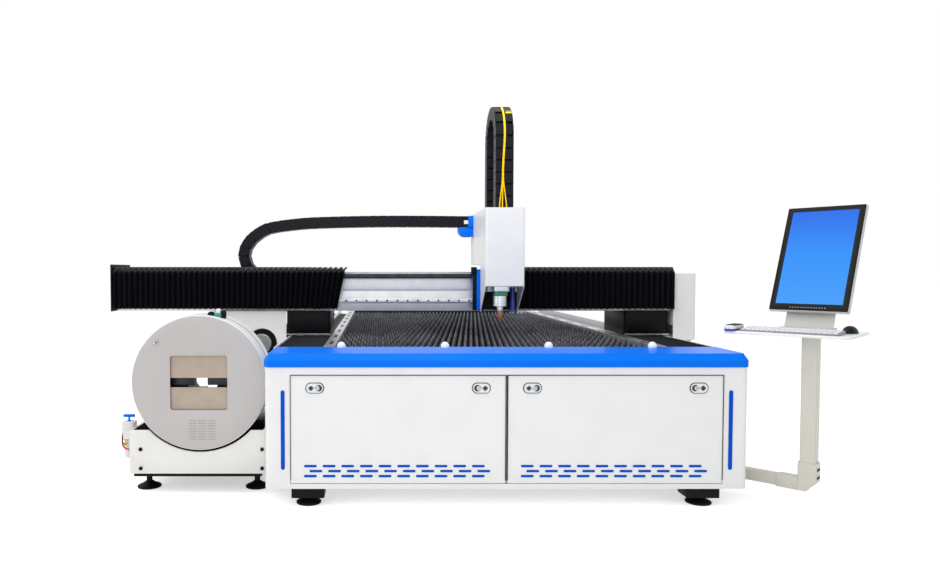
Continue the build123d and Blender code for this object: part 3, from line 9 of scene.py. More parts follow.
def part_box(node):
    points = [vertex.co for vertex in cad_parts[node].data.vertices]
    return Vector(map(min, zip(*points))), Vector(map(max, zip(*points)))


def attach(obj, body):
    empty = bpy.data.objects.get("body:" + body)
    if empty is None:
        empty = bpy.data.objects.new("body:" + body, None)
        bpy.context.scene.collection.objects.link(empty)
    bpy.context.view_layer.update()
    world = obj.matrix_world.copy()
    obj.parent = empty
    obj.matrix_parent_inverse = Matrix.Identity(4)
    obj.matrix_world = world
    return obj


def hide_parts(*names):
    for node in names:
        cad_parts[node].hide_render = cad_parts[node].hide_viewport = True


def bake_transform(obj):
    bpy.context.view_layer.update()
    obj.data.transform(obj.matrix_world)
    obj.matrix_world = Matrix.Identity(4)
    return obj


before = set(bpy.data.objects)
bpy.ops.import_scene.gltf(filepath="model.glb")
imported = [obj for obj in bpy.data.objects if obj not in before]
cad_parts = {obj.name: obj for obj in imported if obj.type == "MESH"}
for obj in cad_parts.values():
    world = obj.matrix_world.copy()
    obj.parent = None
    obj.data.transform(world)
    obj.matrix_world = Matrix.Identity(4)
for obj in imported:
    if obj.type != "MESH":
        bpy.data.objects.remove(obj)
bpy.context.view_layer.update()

# Stage and camera
# A pale seamless floor under soft overhead light, as in a catalogue picture.
# The camera stands a little left of the bed's middle, at chest height, and looks almost level.
nose_low, nose_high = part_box("nose_cap")
bed_x = (nose_low.x + nose_high.x) / 2
front_y = nose_low.y


def at(x, y, z):
    """A point in millimetres from the bed's centre line, the nose's front face and the floor."""
    return Vector((bed_x + x / 1000, front_y + y / 1000, z / 1000))


def linear(code):
    """An sRGB hex colour as the linear values that a shader takes."""
    values = [int(code[index:index + 2], 16) / 255 for index in (1, 3, 5)]
    return [v / 12.92 if v <= 0.04045 else ((v + 0.055) / 1.055) ** 2.4 for v in values] + [1.0]


def node(tree, kind, settings=None, inputs=None):
    """Add one node with its settings; an input is a value, or a (node, output name) pair to link."""
    made = tree.nodes.new(kind)
    for name, value in (settings or {}).items():
        setattr(made, name, value)
    for name, value in (inputs or {}).items():
        if isinstance(value, tuple) and isinstance(value[0], bpy.types.Node):
            tree.links.new(value[0].outputs[value[1]], made.inputs[name])
        else:
            made.inputs[name].default_value = value
    return made


def finish(name):
    """A new material, with its node tree and its main shader."""
    made = bpy.data.materials.new(name)
    made.use_nodes = True
    return made, made.node_tree, made.node_tree.nodes["Principled BSDF"]


scene = bpy.context.scene
scene.view_settings.view_transform = "Standard"
picture_width, sight_pixel = 940, 377
look_down = 2
bpy.ops.object.camera_add(location=at(-589.5, -3222, 1077), rotation=(radians(90 - look_down), 0, 0))
camera = bpy.context.object
camera.data.sensor_width = 36
camera.data.lens = 27.38
camera.data.shift_x = (picture_width / 2 - sight_pixel) / picture_width
camera.data.shift_y = 0.0085
scene.camera = camera

floor_size = 60
floor_lift = 0.52
white = (1, 1, 1, 1)
bpy.ops.mesh.primitive_plane_add(size=floor_size)
floor = bpy.context.object
floor.name = "floor"
floor_paint, tree = finish("pale studio floor")[:2]
tree.nodes.clear()
floor_coat = node(tree, "ShaderNodeBsdfDiffuse", inputs={"Color": linear("#f4f5f6")})
seen = node(tree, "ShaderNodeLightPath")
straight = node(tree, "ShaderNodeMath", {"operation": "MAXIMUM"},
                {0: (seen, "Is Camera Ray"), 1: (seen, "Is Glossy Ray")})
lift = node(tree, "ShaderNodeMath", {"operation": "MULTIPLY"}, {0: (straight, "Value"), 1: floor_lift})
floor_glow = node(tree, "ShaderNodeEmission", inputs={"Color": white, "Strength": (lift, "Value")})
both = node(tree, "ShaderNodeAddShader", inputs={0: (floor_coat, "BSDF"), 1: (floor_glow, "Emission")})
node(tree, "ShaderNodeOutputMaterial", inputs={"Surface": (both, "Shader")})
floor.data.materials.append(floor_paint)

air_light, backdrop_light = 0.55, 1.0
world = bpy.data.worlds.new("studio air")
scene.world = world
world.use_nodes = True
tree = world.node_tree
tree.nodes.clear()
air = node(tree, "ShaderNodeBackground", inputs={"Color": white, "Strength": air_light})
backdrop = node(tree, "ShaderNodeBackground", inputs={"Color": white, "Strength": backdrop_light})
seen = node(tree, "ShaderNodeLightPath")
straight = node(tree, "ShaderNodeMath", {"operation": "MAXIMUM"},
                {0: (seen, "Is Camera Ray"), 1: (seen, "Is Transmission Ray")})
plain = node(tree, "ShaderNodeMath", {"operation": "MAXIMUM"},
             {0: (straight, "Value"), 1: (seen, "Is Glossy Ray")})
blend = node(tree, "ShaderNodeMixShader",
             inputs={0: (plain, "Value"), 1: (air, "Background"), 2: (backdrop, "Background")})
node(tree, "ShaderNodeOutputWorld", inputs={"Surface": (blend, "Shader")})

for lamp_name, place, aim, size, power in (
    ("key softbox", (-2600, -3600, 3900), (0, 600, 500), 3.0, 40),
    ("fill softbox", (3200, -3000, 2600), (300, 600, 500), 2.6, 20),
    ("top softbox", (0, 1200, 4600), (0, 1200, 0), 4.0, 70),
    ("front softbox", (-700, -4300, 1500), (-300, 900, 850), 3.0, 22),
    ("left softbox", (-4300, 200, 2100), (0, 1000, 1100), 2.4, 45),
    ("gantry softbox", (-500, -300, 3000), (-100, 950, 950), 1.6, 20),
):
    bpy.ops.object.light_add(type="AREA", location=at(*place))
    lamp = bpy.context.object
    lamp.name = lamp_name
    lamp.data.size = size
    lamp.data.energy = power
    lamp.rotation_euler = (at(*aim) - at(*place)).to_track_quat("-Z", "Y").to_euler()


# Bed nose and cabinet
# Folded steel sheet, powder coated: blue along the nose, white below.
# The coat shows a fine orange-peel skin, and its tone shifts a little towards the floor.
def mottled(tree, where, width, detail, span, most, colour, other):
    """Drift from one colour to another in soft patches; span is the noise between which they rise."""
    noise = node(tree, "ShaderNodeTexNoise", inputs={
        "Vector": (where, "Object"), "Scale": 1 / width, "Detail": detail})
    amount = node(tree, "ShaderNodeMapRange", inputs={
        "Value": (noise, "Fac"), "From Min": span[0], "From Max": span[1], "To Max": most})
    return node(tree, "ShaderNodeMixRGB", inputs={
        "Fac": (amount, "Result"), "Color1": colour, "Color2": linear(other)})


def by_height(tree, where, span, below, above, amounts=(0.0, 1.0)):
    """Blend from one colour to another between two heights."""
    height = node(tree, "ShaderNodeSeparateXYZ", inputs={"Vector": (where, "Object")})
    amount = node(tree, "ShaderNodeMapRange", inputs={
        "Value": (height, "Z"), "From Min": span[0], "From Max": span[1],
        "To Min": amounts[0], "To Max": amounts[1]})
    return node(tree, "ShaderNodeMixRGB", inputs={
        "Fac": (amount, "Result"), "Color1": below, "Color2": above})


def powder_coat(name, colour, second_tone, roughness=0.36, specular=0.5):
    """Powder coat or moulded plastic: colour that drifts a little over a hand's width, and a fine bump."""
    made, tree, shader = finish(name)
    shader.inputs["Roughness"].default_value = roughness
    shader.inputs["Specular IOR Level"].default_value = specular
    where = node(tree, "ShaderNodeTexCoord")
    hand_width = 0.18
    coat = mottled(tree, where, hand_width, 4.0, (0.45, 0.75), 0.35, linear(colour), second_tone)
    # Below 0.22 m the colour shifts towards the second tone, by up to 0.4 near the floor.
    floor_tone = by_height(tree, where, (0.06, 0.22), (coat, "Color"), linear(second_tone), (0.4, 0.0))
    tree.links.new(floor_tone.outputs["Color"], shader.inputs["Base Color"])
    # Real orange peel is about 1 mm across; it is drawn at 4 mm so that it shows.
    peel_width = 0.004
    peel = node(tree, "ShaderNodeTexNoise", inputs={"Vector": (where, "Object"), "Scale": 1 / peel_width})
    bump = node(tree, "ShaderNodeBump", inputs={
        "Height": (peel, "Fac"), "Strength": 0.06, "Distance": 0.001})
    tree.links.new(bump.outputs["Normal"], shader.inputs["Normal"])
    return made


def paint(material, *names):
    """Give CAD nodes a finish."""
    for name in names:
        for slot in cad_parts[name].material_slots:
            slot.material = material


white_coat = powder_coat("white powder coat", "#eaeaea", "#dedcd9")
blue_coat = powder_coat("blue powder coat", "#0072ee", "#0877ee", 0.3, 0.08)
paint(blue_coat, "nose_cap")
paint(white_coat, "front_cabinet", "bed_beams", "left_door", "right_door")

# Door vents, gap shade and corner strips
# Two drop-down doors of folded sheet, each with three rows of pressed louvres at its foot, and black strips in
# their gaps as painted shade.
# A louvre is a blue stadium-shaped pressing with a shallow dished face; the strips have round ends.
deep_blue_coat = powder_coat("deep blue powder coat", "#004fc0", "#0453c2", 0.4, 0.06)
# Black powder coat, also used for black strips and sheets that are painted shade.
black_coat_and_shade = powder_coat("black powder coat and painted shade", "#030406", "#08090b", 0.45, 0.12)
vent_size = (58, 11)
vent_margin = (60, 33)
vent_pitch = (85, 23)
vent_shift = 25
vent_grid = (10, 3)


def activate(piece):
    """Select one piece alone and make it active."""
    bpy.ops.object.select_all(action="DESELECT")
    piece.select_set(True)
    bpy.context.view_layer.objects.active = piece


def leave_edit():
    """Go back to object mode."""
    bpy.ops.object.mode_set(mode="OBJECT")


def choose(piece, kind="VERT", test=None):
    """Open a piece in edit mode with all of it selected, or only its elements of a kind that pass a test."""
    activate(piece)
    bpy.ops.object.mode_set(mode="EDIT")
    bpy.ops.mesh.select_mode(type=kind)
    bpy.ops.mesh.select_all(action="DESELECT" if test else "SELECT")
    if test:
        leave_edit()
        mesh = piece.data
        for element in {"VERT": mesh.vertices, "EDGE": mesh.edges, "FACE": mesh.polygons}[kind]:
            element.select = test(element)
        bpy.ops.object.mode_set(mode="EDIT")


def alter(piece, kind, **values):
    """Add a modifier with its values to a piece, and apply it."""
    change = piece.modifiers.new(kind, kind)
    for name, value in values.items():
        setattr(change, name, value)
    activate(piece)
    bpy.ops.object.modifier_apply(modifier=change.name)
    return piece


def bevel(piece, width, segments, edges=None):
    """Round a piece's edges; edges picks those to round from each edge's two ends."""
    if not edges:
        return alter(piece, "BEVEL", width=width / 1000, segments=segments, limit_method="ANGLE")
    choose(piece, "EDGE", lambda edge: edges(*(piece.data.vertices[end].co for end in edge.vertices)))
    bpy.ops.mesh.bevel(offset=width / 1000, segments=segments, affect="EDGES")
    leave_edit()
    return piece


def along(*still):
    """A test for edges along which the given coordinates stay the same."""
    return lambda a, b: all(abs(a[i] - b[i]) < 1e-6 for i in still)


along_x, along_y, along_z = along(1, 2), along(0, 2), along(0, 1)


def block(name, low, high, *rounds):
    """A box between two corners, with its place in its mesh; rounds are the bevels that it gets, in turn."""
    bpy.ops.mesh.primitive_cube_add(size=1, location=(low + high) / 2)
    piece = bpy.context.object
    piece.name = name
    piece.scale = [abs(side) for side in high - low]
    bpy.ops.object.transform_apply()
    for rounding in rounds:
        bevel(piece, *rounding)
    return piece


def box(name, low, high, *rounds):
    """A box between two places on the machine, in millimetres."""
    return block(name, at(*low), at(*high), *rounds)


def dish(piece, facing, rim, depth):
    """Inset the faces that look along facing and push them in."""
    choose(piece, "FACE", lambda face: face.normal.dot(facing) > 0.999)
    bpy.ops.mesh.inset(thickness=rim / 1000, depth=0)
    bpy.ops.transform.translate(value=facing * (-depth / 1000))
    leave_edit()
    return piece


def copies(piece, places):
    """Copies of a piece, one moved to each place, given as a matrix."""
    made = []
    for place in places:
        activate(piece)
        bpy.ops.object.duplicate()
        bpy.context.object.data.transform(place)
        made.append(bpy.context.object)
    return made


def join(name, pieces):
    """Join pieces into one object."""
    activate(pieces[0])
    for piece in pieces:
        piece.select_set(True)
    bpy.ops.object.join()
    pieces[0].name = name
    return pieces[0]


def dress(piece, material, body, slot, *nodes):
    """Give a new piece its finish, the body it moves with, and the CAD nodes that it stands for."""
    piece.data.materials.clear()
    piece.data.materials.append(material)
    activate(piece)
    bpy.ops.object.shade_smooth_by_angle(angle=radians(32))
    if body:
        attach(piece, body)
    if nodes:
        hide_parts(*nodes)
    return piece


toward_operator = Vector((0, -1, 0))
latch_rise, louvre_rise = 0.004, 0.0015
gap_strip_width, gap_strip_foot = 0.0024, 0.126
for side in ("left", "right"):
    leaf = f"{side}_door_leaf"
    low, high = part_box(f"{side}_door")
    first = low + Vector((vent_margin[0] / 1000, latch_rise - louvre_rise,
                          (vent_margin[1] - vent_size[1] / 2) / 1000))
    louvre = block(f"{side}_door_louvres", first, first + Vector((vent_size[0], 2.5, vent_size[1])) / 1000,
                   (5.2, 5, along_y))
    dish(louvre, toward_operator, 1.4, 0.9)
    steps = [Vector((column * vent_pitch[0] + vent_shift * (row % 2), 0, row * vent_pitch[1])) / 1000
             for row in range(vent_grid[1]) for column in range(vent_grid[0]) if row or column]
    louvres = [louvre] + copies(louvre, [Matrix.Translation(step) for step in steps])
    dress(join(louvre.name, louvres), deep_blue_coat, leaf, "blue_paint")
    # Painted shade: black strips fill the gaps at the door's sides and top, and ride with the door.
    front, back, top = low.y + 0.0005, low.y + 0.009, high.z + gap_strip_width
    gap_strips = [block("gap_strip", Vector((start, front, foot)), Vector((end, back, top))) for start, foot, end in (
        (low.x - gap_strip_width, gap_strip_foot, low.x), (high.x, gap_strip_foot, high.x + gap_strip_width),
        (low.x, high.z, high.x))]
    dress(join(f"{side}_door_gap_shade", gap_strips), black_coat_and_shade, leaf, "black_plastic")
for name, x in (("left_strip", -1018), ("right_strip", 1018)):
    strip = box(name, (x - 9, 3, 172), (x + 9, 6, 536), (8.8, 6, along_y), (0.8, 2))
    dress(strip, deep_blue_coat, "bed", "blue_paint", "side_strips")

# Door latches
# Chromed die-cast oval plates, two on each door, held by nuts behind the sheet.
# Each has a key barrel at one end, which turns the cam, and a finger dish at the other; the keyhole and the dish
# are black, as painted shade.
rightward, upright = Vector((1, 0, 0)), Vector((0, 0, 1))


def spun(name, centre, axis, profile, steps):
    """Turn a closed outline of (radius, distance along the axis) round an axis, as on a lathe."""
    across = rightward if abs(axis.x) < 0.9 else upright
    points = [centre + across * (r / 1000) + axis * (t / 1000) for r, t in profile]
    mesh = bpy.data.meshes.new(name)
    mesh.from_pydata(points, [(i, (i + 1) % len(points)) for i in range(len(points))], [])
    piece = bpy.data.objects.new(name, mesh)
    bpy.context.collection.objects.link(piece)
    choose(piece)
    bpy.ops.mesh.spin(steps=steps, angle=2 * pi, center=centre, axis=axis)
    bpy.ops.mesh.select_all(action="SELECT")
    bpy.ops.mesh.remove_doubles(threshold=0.00002)
    bpy.ops.mesh.normals_make_consistent(inside=False)
    leave_edit()
    return piece


def turned(piece, angle, axis, centre):
    """Turn a piece about a line along x, y or z through a centre."""
    choose(piece)
    bpy.ops.transform.rotate(value=radians(angle), orient_axis=axis, center_override=centre)
    leave_edit()
    return piece


def metal(name, colour, roughness, grain=(0.002, 0.12), worn=None, metallic=1.0):
    """Bare or plated metal: a long fine grain along x in the roughness, and a slight drift in tone."""
    made, tree, shader = finish(name)
    shader.inputs["Metallic"].default_value = metallic
    where = node(tree, "ShaderNodeTexCoord")
    stretch = node(tree, "ShaderNodeMapping", inputs={
        "Vector": (where, "Object"), "Scale": (1 / grain[1], 1 / grain[0], 1 / grain[0])})
    streaks = node(tree, "ShaderNodeTexNoise", inputs={
        "Vector": (stretch, "Vector"), "Scale": 1.0, "Detail": 3.0})
    gloss = node(tree, "ShaderNodeMapRange", inputs={
        "Value": (streaks, "Fac"), "To Min": roughness * 0.75, "To Max": roughness * 1.3})
    tree.links.new(gloss.outputs["Result"], shader.inputs["Roughness"])
    patch_width = 0.06
    tone = mottled(tree, where, patch_width, 5.0, (0.4, 0.75), 1.0, linear(colour), worn)
    tree.links.new(tone.outputs["Color"], shader.inputs["Base Color"])
    return made


chrome = metal("chrome plate", "#a9acb1", 0.2, worn="#94979c")
# Black enamel for black parts, also used as painted shade in holes, slots, recesses and a seam.
black_enamel_and_shade = powder_coat("black enamel and painted shade", "#08090a", "#131416", 0.5)
latch_z = 546
keyhole = 8.4
for side, hand in (("left", -1), ("right", 1)):
    for place, latch_x, key_side in (("inner", 116, -1), ("outer", 872, 1)):
        latch, leaf, barrel_body = f"{side}_{place}", f"{side}_door_leaf", f"{side}_{place}_latch"
        low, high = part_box(f"{side}_door_{place}_cam")
        x, key_way = hand * latch_x, hand * key_side
        plate = box(f"{latch}_latch_plate", (x - 40, 1.2, latch_z - 22.5), (x + 40, 7, latch_z + 22.5),
                    (21.5, 10, along_y), (1.4, 3))
        dress(dish(plate, toward_operator, 3.5, 1.2), chrome, leaf, "chrome")
        gasket = box(f"{latch}_latch_gasket", (x - 43, 5.2, latch_z - 25), (x + 43, 6.6, latch_z + 25),
                     (24, 10, along_y))
        dress(gasket, black_enamel_and_shade, leaf, "black_plastic")
        # Painted shade: the finger dish is black for the dark of its recess.
        finger = spun(f"{latch}_finger_dish", at(x - 18 * key_way, 2.2, latch_z), toward_operator,
                      [(0, 1.6), (12, 1.2), (16, 0), (17, -1), (0, -1)], 32)
        dress(finger, black_enamel_and_shade, leaf, "black_plastic")
        button = spun(f"{latch}_finger_button", at(x - 11 * key_way, 1.2, latch_z), toward_operator,
                      [(0, 2.2), (8, 1.8), (11.5, 0.4), (12, -1), (0, -1)], 32)
        dress(button, chrome, leaf, "chrome")
        key = at(x + 17 * key_way, 0, latch_z)
        key.y = low.y
        barrel = spun(f"{latch}_key_barrel", key, toward_operator,
                      [(0, 0.4), (12, 0.4), (13, -0.6), (13, -2), (9, -3), (9, -26), (0, -26)], 40)
        tongue = block("tongue", Vector((low.x, high.y - 0.004, low.z)), high, (1, 2))
        dress(join(barrel.name, [barrel, tongue]), chrome, barrel_body, "chrome", f"{side}_door_{place}_cam")
        # Painted shade: the keyhole is a black diamond for the dark of the hole.
        hole = block(f"{latch}_keyhole", key - Vector((keyhole, 1.2, keyhole)) / 1000,
                     key + Vector((keyhole, 3, keyhole)) / 1000)
        dress(bevel(turned(hole, 45, "Y", key), 0.8, 2), black_enamel_and_shade, barrel_body, "black_plastic")

# Levelling feet
# Black cast blocks bolted under the bed's corners and middle, each on a threaded stem
# with a lock nut and a round ball-jointed pad with a rubber ring; the tube chuck has four more.
bed_feet = [(hand * 907, y) for hand in (-1, 1) for y in (75, 2122.5, 4170)]
chuck_feet = [(x, y) for x in (-1727, -1188) for y in (321, 692)]
# Black rubber, also used for a sheet and a disc that are painted shade.
rubber_and_shade = powder_coat("black rubber", "#06070a", "#0d0e10", 0.6, 0.15)
pads = []
for feet, stem_top, nut_z in ((bed_feet, 38, 31.4), (chuck_feet, 86, 79)):
    for x, y in feet:
        pads.append(spun("pad", at(x, y, 0), upright, [
            (0, 0), (56, 0), (58, 2), (58, 7), (55, 10), (51, 12), (34, 19), (24, 26), (19, 30), (14, 31),
            (14, stem_top), (0, stem_top)], 36))
        bpy.ops.mesh.primitive_cylinder_add(vertices=6, radius=0.021, depth=0.009, location=at(x, y, nut_z))
        bpy.ops.object.transform_apply()
        pads.append(bevel(bpy.context.object, 1.2, 2))
dress(join("levelling_pads", pads), rubber_and_shade, "bed", "black_paint", "levelling_feet")
blocks = [box("foot_block", (x - 76, y - 55, 36), (x + 76, y + 55, 84), (9, 3, along_z), (1.5, 2))
          for x, y in bed_feet]
dress(join("foot_blocks", blocks), black_coat_and_shade, "bed", "black_paint", "levelling_feet")

# Slat table
# Laser-cut mild steel slats on edge, each with a row of tall teeth that carry the sheet.
# They drop into the two slotted side rails; heat and cutting dust have darkened them in patches, and painted
# shade blackens them below the tips.
slat_low, slat_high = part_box("slats")
teeth = 50
tooth = (slat_high.x - slat_low.x) / teeth
tooth_rise = 0.042
tooth_tip = 0.12
slat_step = 0.120
slat_rows = 26
slat_wall = 4
body_rise = slat_high.z - slat_low.z - tooth_rise
bpy.ops.mesh.primitive_plane_add(size=1, rotation=(pi / 2, 0, 0))
slats = bpy.context.object
slats.scale = (tooth, body_rise, 1)
slats.location = (slat_low.x + tooth / 2, slat_low.y, slat_low.z + body_rise / 2)
bpy.ops.object.transform_apply()
choose(slats, "EDGE", lambda edge: all(
    slats.data.vertices[end].co.z > slat_low.z + body_rise - 1e-5 for end in edge.vertices))
bpy.ops.mesh.extrude_region_move(TRANSFORM_OT_translate={"value": (0, 0, tooth_rise)})
bpy.ops.transform.resize(value=(tooth_tip, 1, 1), center_override=(slat_low.x + tooth / 2, slat_low.y, 0))
leave_edit()


def repeat(piece, count, step, merge=False):
    """Repeat a piece in a row, each copy with its own mesh."""
    return alter(piece, "ARRAY", count=count, use_relative_offset=False, use_constant_offset=True,
                 constant_offset_displace=step, use_merge_vertices=merge)


def thicken(piece, wall, offset=0.0):
    """Give a sheet its wall."""
    return alter(piece, "SOLIDIFY", thickness=wall / 1000, offset=offset)


# Every second slat is shifted by half a tooth and trimmed to the same ends.
shifted = copies(slats, [Matrix.Translation((-tooth / 2, slat_step, 0))])[0]
repeat(shifted, teeth + 1, (tooth, 0, 0), True)
for end, outward in ((slat_low.x, -1), (slat_high.x, 1)):
    choose(shifted)
    bpy.ops.mesh.bisect(plane_co=(end, 0, 0), plane_no=(outward, 0, 0), clear_outer=True)
    leave_edit()
repeat(slats, teeth, (tooth, 0, 0), True)
slats = join("toothed_slats", [thicken(row, slat_wall, -1.0) for row in (slats, shifted)])
repeat(slats, slat_rows // 2, (0, 2 * slat_step, 0))
# Mild steel after cutting: grey scale with dark dust patches; painted shade fades it to black below the tips,
# for the shade between the slats.
scorched_and_shaded = metal("scorched mild steel", "#a0a2aa", 0.40, (0.004, 0.03), "#606063", 0.7)
tree = scorched_and_shaded.node_tree
base = tree.nodes["Principled BSDF"].inputs["Base Color"]
toned = base.links[0].from_node
# Painted shade: the colour fades to near black from the tips down to 34 mm below them.
shaded_below_tips = by_height(tree, node(tree, "ShaderNodeTexCoord"), (slat_high.z - 0.034, slat_high.z + 0.002),
                   linear("#030304"), (toned, "Color"))
tree.links.new(shaded_below_tips.outputs["Color"], base)
dress(slats, scorched_and_shaded, "bed", "dark_steel", "slats")
rail_grey = metal("zinc-plated steel rail", "#c6c7cb", 0.38, (0.003, 0.2), "#aeb0b5")
paint(rail_grey, "slat_rails", "scrap_tray")
rail_low, rail_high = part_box("slat_rails")
# Painted shade: black blocks on the rails' tops stand for the dark inside of their slots.
hole = block("slat_rail_slots", Vector((rail_low.x + 0.020, rail_low.y + 0.10, rail_high.z - 0.001)),
             Vector((rail_low.x + 0.038, rail_low.y + 0.27, rail_high.z + 0.0004)), (8, 5, along_z))
repeat(hole, 8, (0, 0.38, 0))
repeat(hole, 2, (rail_high.x - rail_low.x - 0.058, 0, 0))
dress(hole, black_enamel_and_shade, "bed", "dark_steel")

# Rail mats and rear apron
# Black rubber sheet, glued down: a mat beside each of the gantry's rails,
# and an apron folded over the front edge of the rear beam.
mats = [box("mat", (x, 340, 630.2), (x + 236, 4248, 632), (0.7, 2)) for x in (-1094.5, 858.5)]
mats += [box("apron", (-850, 4126, 560), (850, 4129.8, 699.6), (0.6, 2)),
         box("apron", (-850, 4129.8, 698.2), (850, 4249, 699.6), (0.6, 2))]
dress(join("rail_mats_and_rear_apron", mats), rubber_and_shade, "bed", "black_fabric")

# Ball units on the nose
# Four white nylon load balls in turned cups, let into the nose so that a sheet rolls on to the table.
# A ball stands half out of its cup, and the cup's flange lies on the blue coat.
nylon = powder_coat("white nylon", "#f1f1ee", "#e2e2de", 0.32)
balls = [spun("cup", at(x, 284, 702), upright, [
    (0, 0), (21, 0), (21, 11), (19, 15), (17.5, 16), (17, 17), (16, 20), (13, 23.5), (8, 26), (3, 27),
    (0, 27)], 36) for x in (-765, -255, 255, 765)]
dress(join("load_balls", balls), nylon, "bed", "white_nylon", "ball_transfers")

# Travel rails and way covers
# Ground steel rails and racks under black pleated cloth that folds up as the gantry comes forward.
# The cloth is sewn over stiff frames, so its pleats run straight across each way.
bright_steel = metal("ground steel", "#b9bcc2", 0.3, (0.002, 0.3), "#a3a6ac")
paint(bright_steel, "y_rails", "y_slide_blocks", "door_hinge_rod", "z_drive")


def cloth(name, colour, sheen_colour):
    """Coated cloth: fine woven threads under a satin coating."""
    made, tree, shader = finish(name)
    shader.inputs["Roughness"].default_value = 0.55
    shader.inputs["Specular IOR Level"].default_value = 0.14
    where = node(tree, "ShaderNodeTexCoord")
    # Real threads are 0.4 mm apart; they are drawn at 3 mm so that they show.
    thread = 0.003
    weave = node(tree, "ShaderNodeTexChecker", inputs={
        "Vector": (where, "Object"), "Scale": 1 / thread,
        "Color1": linear(colour), "Color2": linear(sheen_colour)})
    dust_width = 0.07
    tone = mottled(tree, where, dust_width, 4.0, (0.45, 0.8), 0.5, (weave, "Color"), sheen_colour)
    tree.links.new(tone.outputs["Color"], shader.inputs["Base Color"])
    bump = node(tree, "ShaderNodeBump", inputs={"Height": (weave, "Fac"), "Strength": 0.15, "Distance": 0.0004})
    tree.links.new(bump.outputs["Normal"], shader.inputs["Normal"])
    return made


bellows_cloth = cloth("black coated bellows cloth", "#030306", "#08090e")


def pleated(name, columns, crest, valley):
    """A pleated cover: columns of places along its run, and the crest and valley outlines across it."""
    rows = len(crest) - 1
    bpy.ops.mesh.primitive_grid_add(x_subdivisions=len(columns) - 1, y_subdivisions=rows, size=1)
    piece = bpy.context.object
    piece.name = name
    for point in piece.data.vertices:
        column = round((point.co.x + 0.5) * (len(columns) - 1))
        row = round((point.co.y + 0.5) * rows)
        outline = crest if column % 2 == 0 else valley
        point.co = columns[column](outline[row])
    piece.data.update()
    choose(piece)
    bpy.ops.mesh.normals_make_consistent(inside=False)
    leave_edit()
    return thicken(piece, 2.0)


low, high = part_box("way_covers")
folds = 22
run = high.y - low.y - 0.002
top = high.z - 0.001
columns = [lambda p, y=low.y + 0.001 + run * i / (2 * folds): Vector((p[0], y, p[1]))
           for i in range(2 * folds + 1)]
for side, hand in (("left", -1), ("right", 1)):
    inner, outer = (at(hand * x, 0, 0).x for x in (857.5, 1094.5))
    edge = hand * 0.014
    crest = [(inner, low.z), (inner, top - 0.010), (inner + edge, top)]
    valley = [(inner + edge / 2, low.z), (inner + edge / 2, top - 0.019), (inner + edge, top - 0.012)]
    crest, valley = (half + [(inner + outer - x, z) for x, z in reversed(half)] for half in (crest, valley))
    cover = pleated(f"{side}_way_cover", columns, crest, valley)
    dress(cover, bellows_cloth, None, "black_fabric", "way_covers")
    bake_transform(cover)

# Gantry beam
# Extruded aluminium on two black legs, with a groove along its face and a ground rail above and below.
# Each rail is held by a row of cap screws; black and white sheet closes the beam's ends.
drawn_aluminium = metal("extruded aluminium", "#d6d7da", 0.36, (0.0025, 0.5), "#cccdd0", 0.5)
dark_rail = metal("oiled rail steel", "#3c3d42", 0.38, (0.002, 0.3), "#2c2d31")
paint(drawn_aluminium, "carriage", "z_slide")
paint(rail_grey, "chain_trough")
paint(white_coat, "right_end_cover", "left_skirt", "head_cover")
paint(black_coat_and_shade, "left_end_cap")
leg_spans = [(hand * 991 - 129, hand * 991 + 129) for hand in (-1, 1)]
legs = [box("leg", (start, 959, 702), (end, 1359, 843), (26, 5, along_z), (2.5, 2)) for start, end in leg_spans]
dress(join("gantry_leg_boxes", legs), black_coat_and_shade, "gantry", "black_paint", "gantry_legs")
skids = [box("skid", (start, 956, 704), (end, 960, 710), (1, 1)) for start, end in leg_spans]
dress(join("leg_skids", skids), bright_steel, "gantry", "rail_steel")
beam = block("beam_extrusion", *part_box("gantry_beam"))
groove = (0.960, 0.966)
groove_depth = 0.012
for z in groove:
    choose(beam)
    bpy.ops.mesh.bisect(plane_co=(0, 0, z), plane_no=(0, 0, 1))
    leave_edit()
choose(beam, "FACE", lambda face: face.normal.y < -0.9 and groove[0] < face.center.z < groove[1])
bpy.ops.mesh.extrude_region_move(TRANSFORM_OT_translate={"value": (0, groove_depth, 0)})
leave_edit()
dress(bevel(beam, 2, 2), drawn_aluminium, "gantry", "aluminium", "gantry_beam")
for place, z, steel in (("upper", 1034, dark_rail), ("lower", 890, rail_grey)):
    rail = box(f"{place}_beam_rail", (-2122, 957, z), (1122, 985, z + 28), (4, 2, along_x))
    dress(rail, steel, "gantry", "rail_steel", "x_rails")
    screw = spun(f"{place}_rail_screws", at(-2090, 957, z + 14), toward_operator,
                 [(0, 0.4), (5.4, 0.4), (6, 0), (6, -3), (0, -3)], 12)
    repeat(screw, 53, (0.06, 0, 0))
    dress(screw, black_enamel_and_shade, "gantry", "dark_steel")

